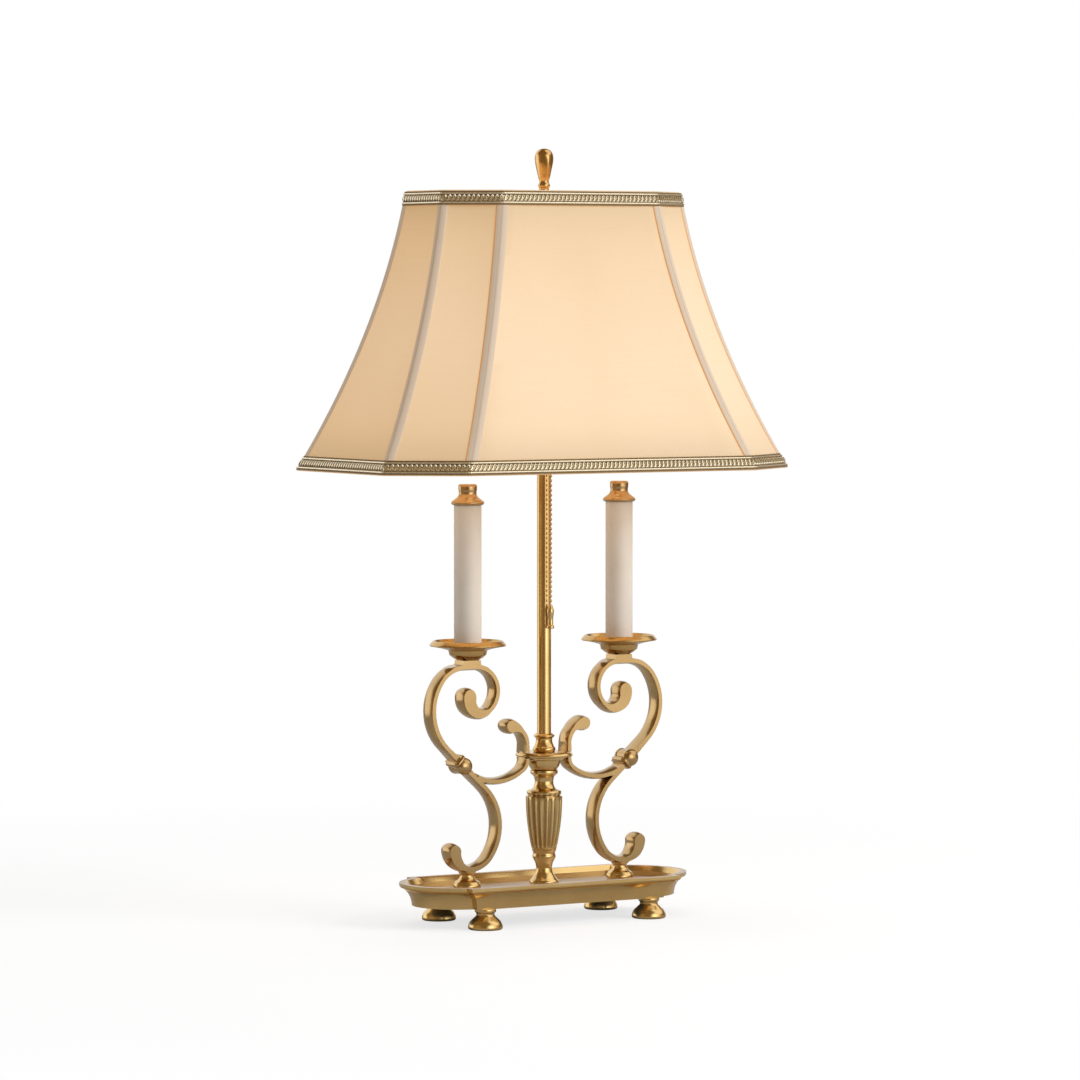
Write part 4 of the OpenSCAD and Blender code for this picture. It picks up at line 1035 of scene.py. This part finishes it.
def cordThread(name, colour, deep, metallic, roughness, twist):
    f = Finish(name, Metallic=metallic, Sheen_Weight=0.1)
    along, around, _ = f.parts(f.node("ShaderNodeUVMap").outputs["UV"])
    strands = ((along * twist + around * 2.0) * fullTurn).sine() * 0.5 + 0.5
    fibres = f.noise(1500.0)
    worn = strands * 0.45 + fibres.step(0.4, 0.8) * 0.25
    f.set(Base_Color=f.mix(worn, colour, dimmed(colour, deep)), Roughness=roughness + fibres * 0.15)
    f.bump(strands + fibres * 0.5, 0.5, 0.18 * mm)
    return f.material


def wovenThread(name, colour, deep, metallic, roughness):
    f = Finish(name, Metallic=metallic)
    fibres = f.noise(1800.0, 3.0, 0.6)
    wefts = (f.z * (fullTurn / (0.9 * mm))).sine() * 0.5 + 0.5
    worn = fibres.step(0.35, 0.75) * 0.6 + wefts * 0.2
    f.set(Base_Color=f.mix(worn, colour, dimmed(colour, deep)), Roughness=roughness + fibres * 0.2)
    f.bump(fibres + wefts * 0.5, 0.5, 0.2 * mm)
    return f.material


cordMaterials = {
    "cream": cordThread("cream cord", braid["cream"], 0.72, 0.95, 0.25, 0.5),
    "brown": cordThread("brown cord", braid["brown"], 0.5, 0.3, 0.5, 0.7),
}
groundCloth = wovenThread("braid ground", braid["ground"], 0.5, 0.9, 0.26)
brightThread = wovenThread("bright thread", braid["bright"], 0.8, 0.95, 0.2)


def edgeBraid(node, top):
    pieces = []
    for number, (distance, radius, cordName) in enumerate(braid["cords"]):
        pieces.append(braidCord(f"{node}_cord_{number}", top, distance, radius))
        pieces[-1].data.materials.append(cordMaterials[cordName])
    pieces.append(braidGround(f"{node}_ground", top))
    pieces[-1].data.materials.append(groundCloth)
    pieces.append(braidScrolls(f"{node}_scrolls", top))
    pieces[-1].data.materials.append(brightThread)
    whole = joined(f"{node}_braid", pieces)
    standIn(whole, node)
    smoothed(whole, braid["smooth"])
    return whole


braids = [edgeBraid("trim_bottom", False), edgeBraid("trim_top", True)]
print("braid sewn on", [len(piece.data.polygons) for piece in braids])


# binding: a strip of silk folded round the wire at each edge

bindingStrip = {
    # mm inwards and mm beyond the edge, from the cover round the wire to the lining
    "section": [(0.2, 0.1), (0.9, 0.5), (2.2, 0.75), (3.4, 0.6), (4.3, 0.0), (4.7, -1.6),
                (4.6, -3.2)],
    "thickness": 0.25 * mm,
}


def binding(name, top):
    section = bindingStrip["section"]
    rows, columns = len(section) - 1, ribs * shade["columns"]

    def place(row, column):
        inwards, beyond = section[row]
        rise = beyond * mm / shadeHeight
        point = onShade(column / shade["columns"], 1 + rise if top else -rise, -inwards * mm)
        return point, (column / columns, row / rows)
    piece = wrapped(name, rows, columns, place)
    thicken(piece, bindingStrip["thickness"], offset=0.0)
    return piece


for name, top in (("edge_binding_bottom", False), ("edge_binding_top", True)):
    strip = binding(name, top)
    strip.data.materials.append(silkCloth)
    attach(strip, "shade")
    smoothed(strip, shade["smooth"])
cutSize = (roundLow, shadeHeight * shade["slope"])
print("edges bound")


# finial: a gilt pear with six soft sides

finial = {
    # height above its seat in mm, radius in mm
    "profile": [(0.0, 0.0), (0.0, 5.5), (1.2, 5.7), (2.2, 4.7), (4.0, 4.3), (5.4, 4.6),
                (6.6, 5.3), (8.2, 5.35), (9.4, 4.7), (10.4, 4.35), (11.6, 4.2), (12.4, 4.5),
                (13.6, 5.1), (17.2, 5.9), (20.8, 6.7), (24.4, 7.5), (27.9, 8.2), (31.6, 8.5),
                (34.8, 8.1), (37.2, 7.0), (39.0, 5.2), (40.0, 3.0), (40.4, 0.0)],
    "pear": 10,                 # mm, above this the profile is cut finer
    "sides": 6,
    "flatness": 0.62,
    "flatStart": (11.5, 6.0),   # mm, height where the sides begin, and over how much they form
    "flatEnd": (38.5, 8.0),
    "turn": 59.0,
    "columns": 72,
    "smooth": 60,
}


def gildedFinial():
    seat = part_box("finial")[0][2]
    profile, columns = finial["profile"], finial["columns"]
    rows = []
    for a, b in zip(profile, profile[1:]):
        count = 3 if a[0] > finial["pear"] else 2
        rows += [(between((a[0], b[0]), k / count), between((a[1], b[1]), k / count))
                 for k in range(count)]
    rows.append(profile[-1])
    sector = fullTurn / finial["sides"]
    (startAt, startOver), (endAt, endOver) = finial["flatStart"], finial["flatEnd"]

    def place(row, column):
        height, radius = rows[row]
        angle = fullTurn * column / columns
        inSector = (angle - math.radians(finial["turn"]) + sector / 2) % sector - sector / 2
        flat = math.cos(sector / 2) / math.cos(inSector)
        shown = limited((height - startAt) / startOver) * limited((endAt - height) / endOver)
        radius *= 1 - finial["flatness"] * shown * (1 - flat)
        point = Vector((radius * math.cos(angle), radius * math.sin(angle), height)) * mm
        return point + Vector((0, 0, seat)), (column / columns, row / len(rows))
    piece = wrapped("finial_gilt", len(rows) - 1, columns, place)
    softer = piece.modifiers.new("softer", "SMOOTH")
    softer.factor = 0.5
    softer.iterations = 3
    bpy.ops.object.modifier_apply(modifier="softer")
    smoothed(piece, finial["smooth"])
    dress(piece, giltBrass, "finial")


gildedFinial()
print("finial gilded")


camera = {
    "lens": 179.1, "sensor": 36, "distance": 4.780, "azimuth": 31.03, "elevation": 2.705,
    "aimHeight": 0.3384, "aimShift": -0.00361,
}
turn, tilt = math.radians(camera["azimuth"]), math.radians(camera["elevation"])
back = Vector((-math.sin(turn) * math.cos(tilt), -math.cos(turn) * math.cos(tilt),
               math.sin(tilt)))
aside = Vector((math.cos(turn), -math.sin(turn), 0))
aim = Vector((0, 0, camera["aimHeight"])) + aside * camera["aimShift"]
bpy.ops.object.camera_add(location=aim + back * camera["distance"])
view = bpy.context.object
view.rotation_euler = (-back).to_track_quat("-Z", "Y").to_euler()
view.data.lens = camera["lens"]
view.data.sensor_width = camera["sensor"]
view.data.clip_end = 50
bpy.context.scene.camera = view


# light and backdrop

studio = {
    # name: place, size in m, watts
    "lamps": {
        "key light": ((2.6, -3.1, 2.0), 2.4, 104.0),
        "fill light": ((-3.2, -1.8, 1.4), 2.4, 3.0),
        "top light": ((0.2, 0.7, 3.2), 1.8, 14.0),
    },
    "aim": (0, 0, 0.35),
    "sky": (0.34, 0.34, 0.34),          # the world on plain surfaces; the background itself is 1
    "room": (0.24, 0.165, 0.08),        # what metal reflects where no soft box stands
    # direction, cosines where the box ends and where it is full, colour in reflections
    "boxes": [
        ((-1.0, -0.05, 0.0), 0.80, 0.94, (0.40, 0.29, 0.15)),       # dim wall at the left
        ((0.75, -0.66, 0.1), 0.88, 0.96, (0.55, 0.44, 0.30)),       # dim wall at the right
        ((0.6, -0.25, 0.76), 0.78, 0.92, (1.35, 1.33, 1.28)),       # overhead, at the right
        ((-0.2, 0.85, 0.5), 0.86, 0.95, (1.1, 1.1, 1.08)),          # high part of the backdrop
        ((0.515, 0.857, 0.0), 0.80, 0.92, (1.0, 1.0, 1.0)),         # backdrop behind the lamp
        ((-0.60, 0.80, 0.05), 0.90, 0.965, (1.4, 1.4, 1.38)),       # box behind, at the left
        ((0.292, -0.956, 0.12), 0.80, 0.90, (1.32, 1.30, 1.26)),    # box in front
        ((0.208, -0.978, 0.12), 0.955, 0.985, (2.5, 2.5, 2.4)),     # its bright middle
    ],
    "floorRadius": 1.4,
    "floorTone": (0.72, 0.72, 0.72),    # to every ray but the camera's
    "floorShadow": (0.40, 0.40, 0.40),  # to the camera, the part that takes shadow
    "floorShine": (0.72, 0.72, 0.72),   # to the camera, the part that doesn't
    "floorFade": (0.15, 1.5),           # square metres, where the floor runs out into white
}
black, whitest = (0.0, 0.0, 0.0), (1.0, 1.0, 1.0)
for name, (place, size, power) in studio["lamps"].items():
    bpy.ops.object.light_add(type="AREA", location=place)
    lamp = bpy.context.object
    lamp.name = name
    lamp.data.shape = "DISK"
    lamp.data.size = size
    lamp.data.energy = power
    beam = Vector(studio["aim"]) - Vector(place)
    lamp.rotation_euler = beam.to_track_quat("-Z", "Y").to_euler()
    lamp.visible_glossy = False     # metal shows the soft boxes of the world instead

world = bpy.data.worlds.new("studio")
bpy.context.scene.world = world
world.use_nodes = True
tree = world.node_tree
rays = tree.nodes.new("ShaderNodeLightPath").outputs
towards = tree.nodes.new("ShaderNodeTexCoord").outputs["Generated"]
seen = Flow(tree, rays["Is Camera Ray"]).larger(Flow(tree, rays["Is Transmission Ray"]))
mirrored = studio["room"]
for direction, outer, inner, colour in studio["boxes"]:
    facing = tree.nodes.new("ShaderNodeVectorMath")
    facing.operation = "DOT_PRODUCT"
    tree.links.new(towards, facing.inputs[0])
    facing.inputs[1].default_value = Vector(direction).normalized()
    boxShare = Flow(tree, facing.outputs["Value"]).step(outer, inner)
    mirrored = mixed(tree, boxShare, mirrored, colour)
unseen = mixed(tree, Flow(tree, rays["Is Glossy Ray"]), studio["sky"], mirrored)
tree.links.new(mixed(tree, seen, unseen, whitest), tree.nodes["Background"].inputs["Color"])

bpy.ops.mesh.primitive_circle_add(vertices=96, radius=studio["floorRadius"], fill_type="NGON",
                                  location=(0, 0, 0))
floor = bpy.context.object
floor.name = "floor"
white = Finish("floor white", Roughness=0.9, Specular_IOR_Level=0.0, Emission_Strength=1.0)
looked = Flow(white.tree, white.node("ShaderNodeLightPath").outputs["Is Camera Ray"])
far = (white.x * white.x + white.y * white.y).step(*studio["floorFade"])
base = white.mix(far, studio["floorShadow"], black)
shine = white.mix(far, studio["floorShine"], whitest)
white.set(Base_Color=white.mix(looked, studio["floorTone"], base),
          Emission_Color=white.mix(looked, black, shine))
floor.data.materials.append(white.material)

bpy.context.scene.view_settings.view_transform = "Standard"
print("camera and lights set")
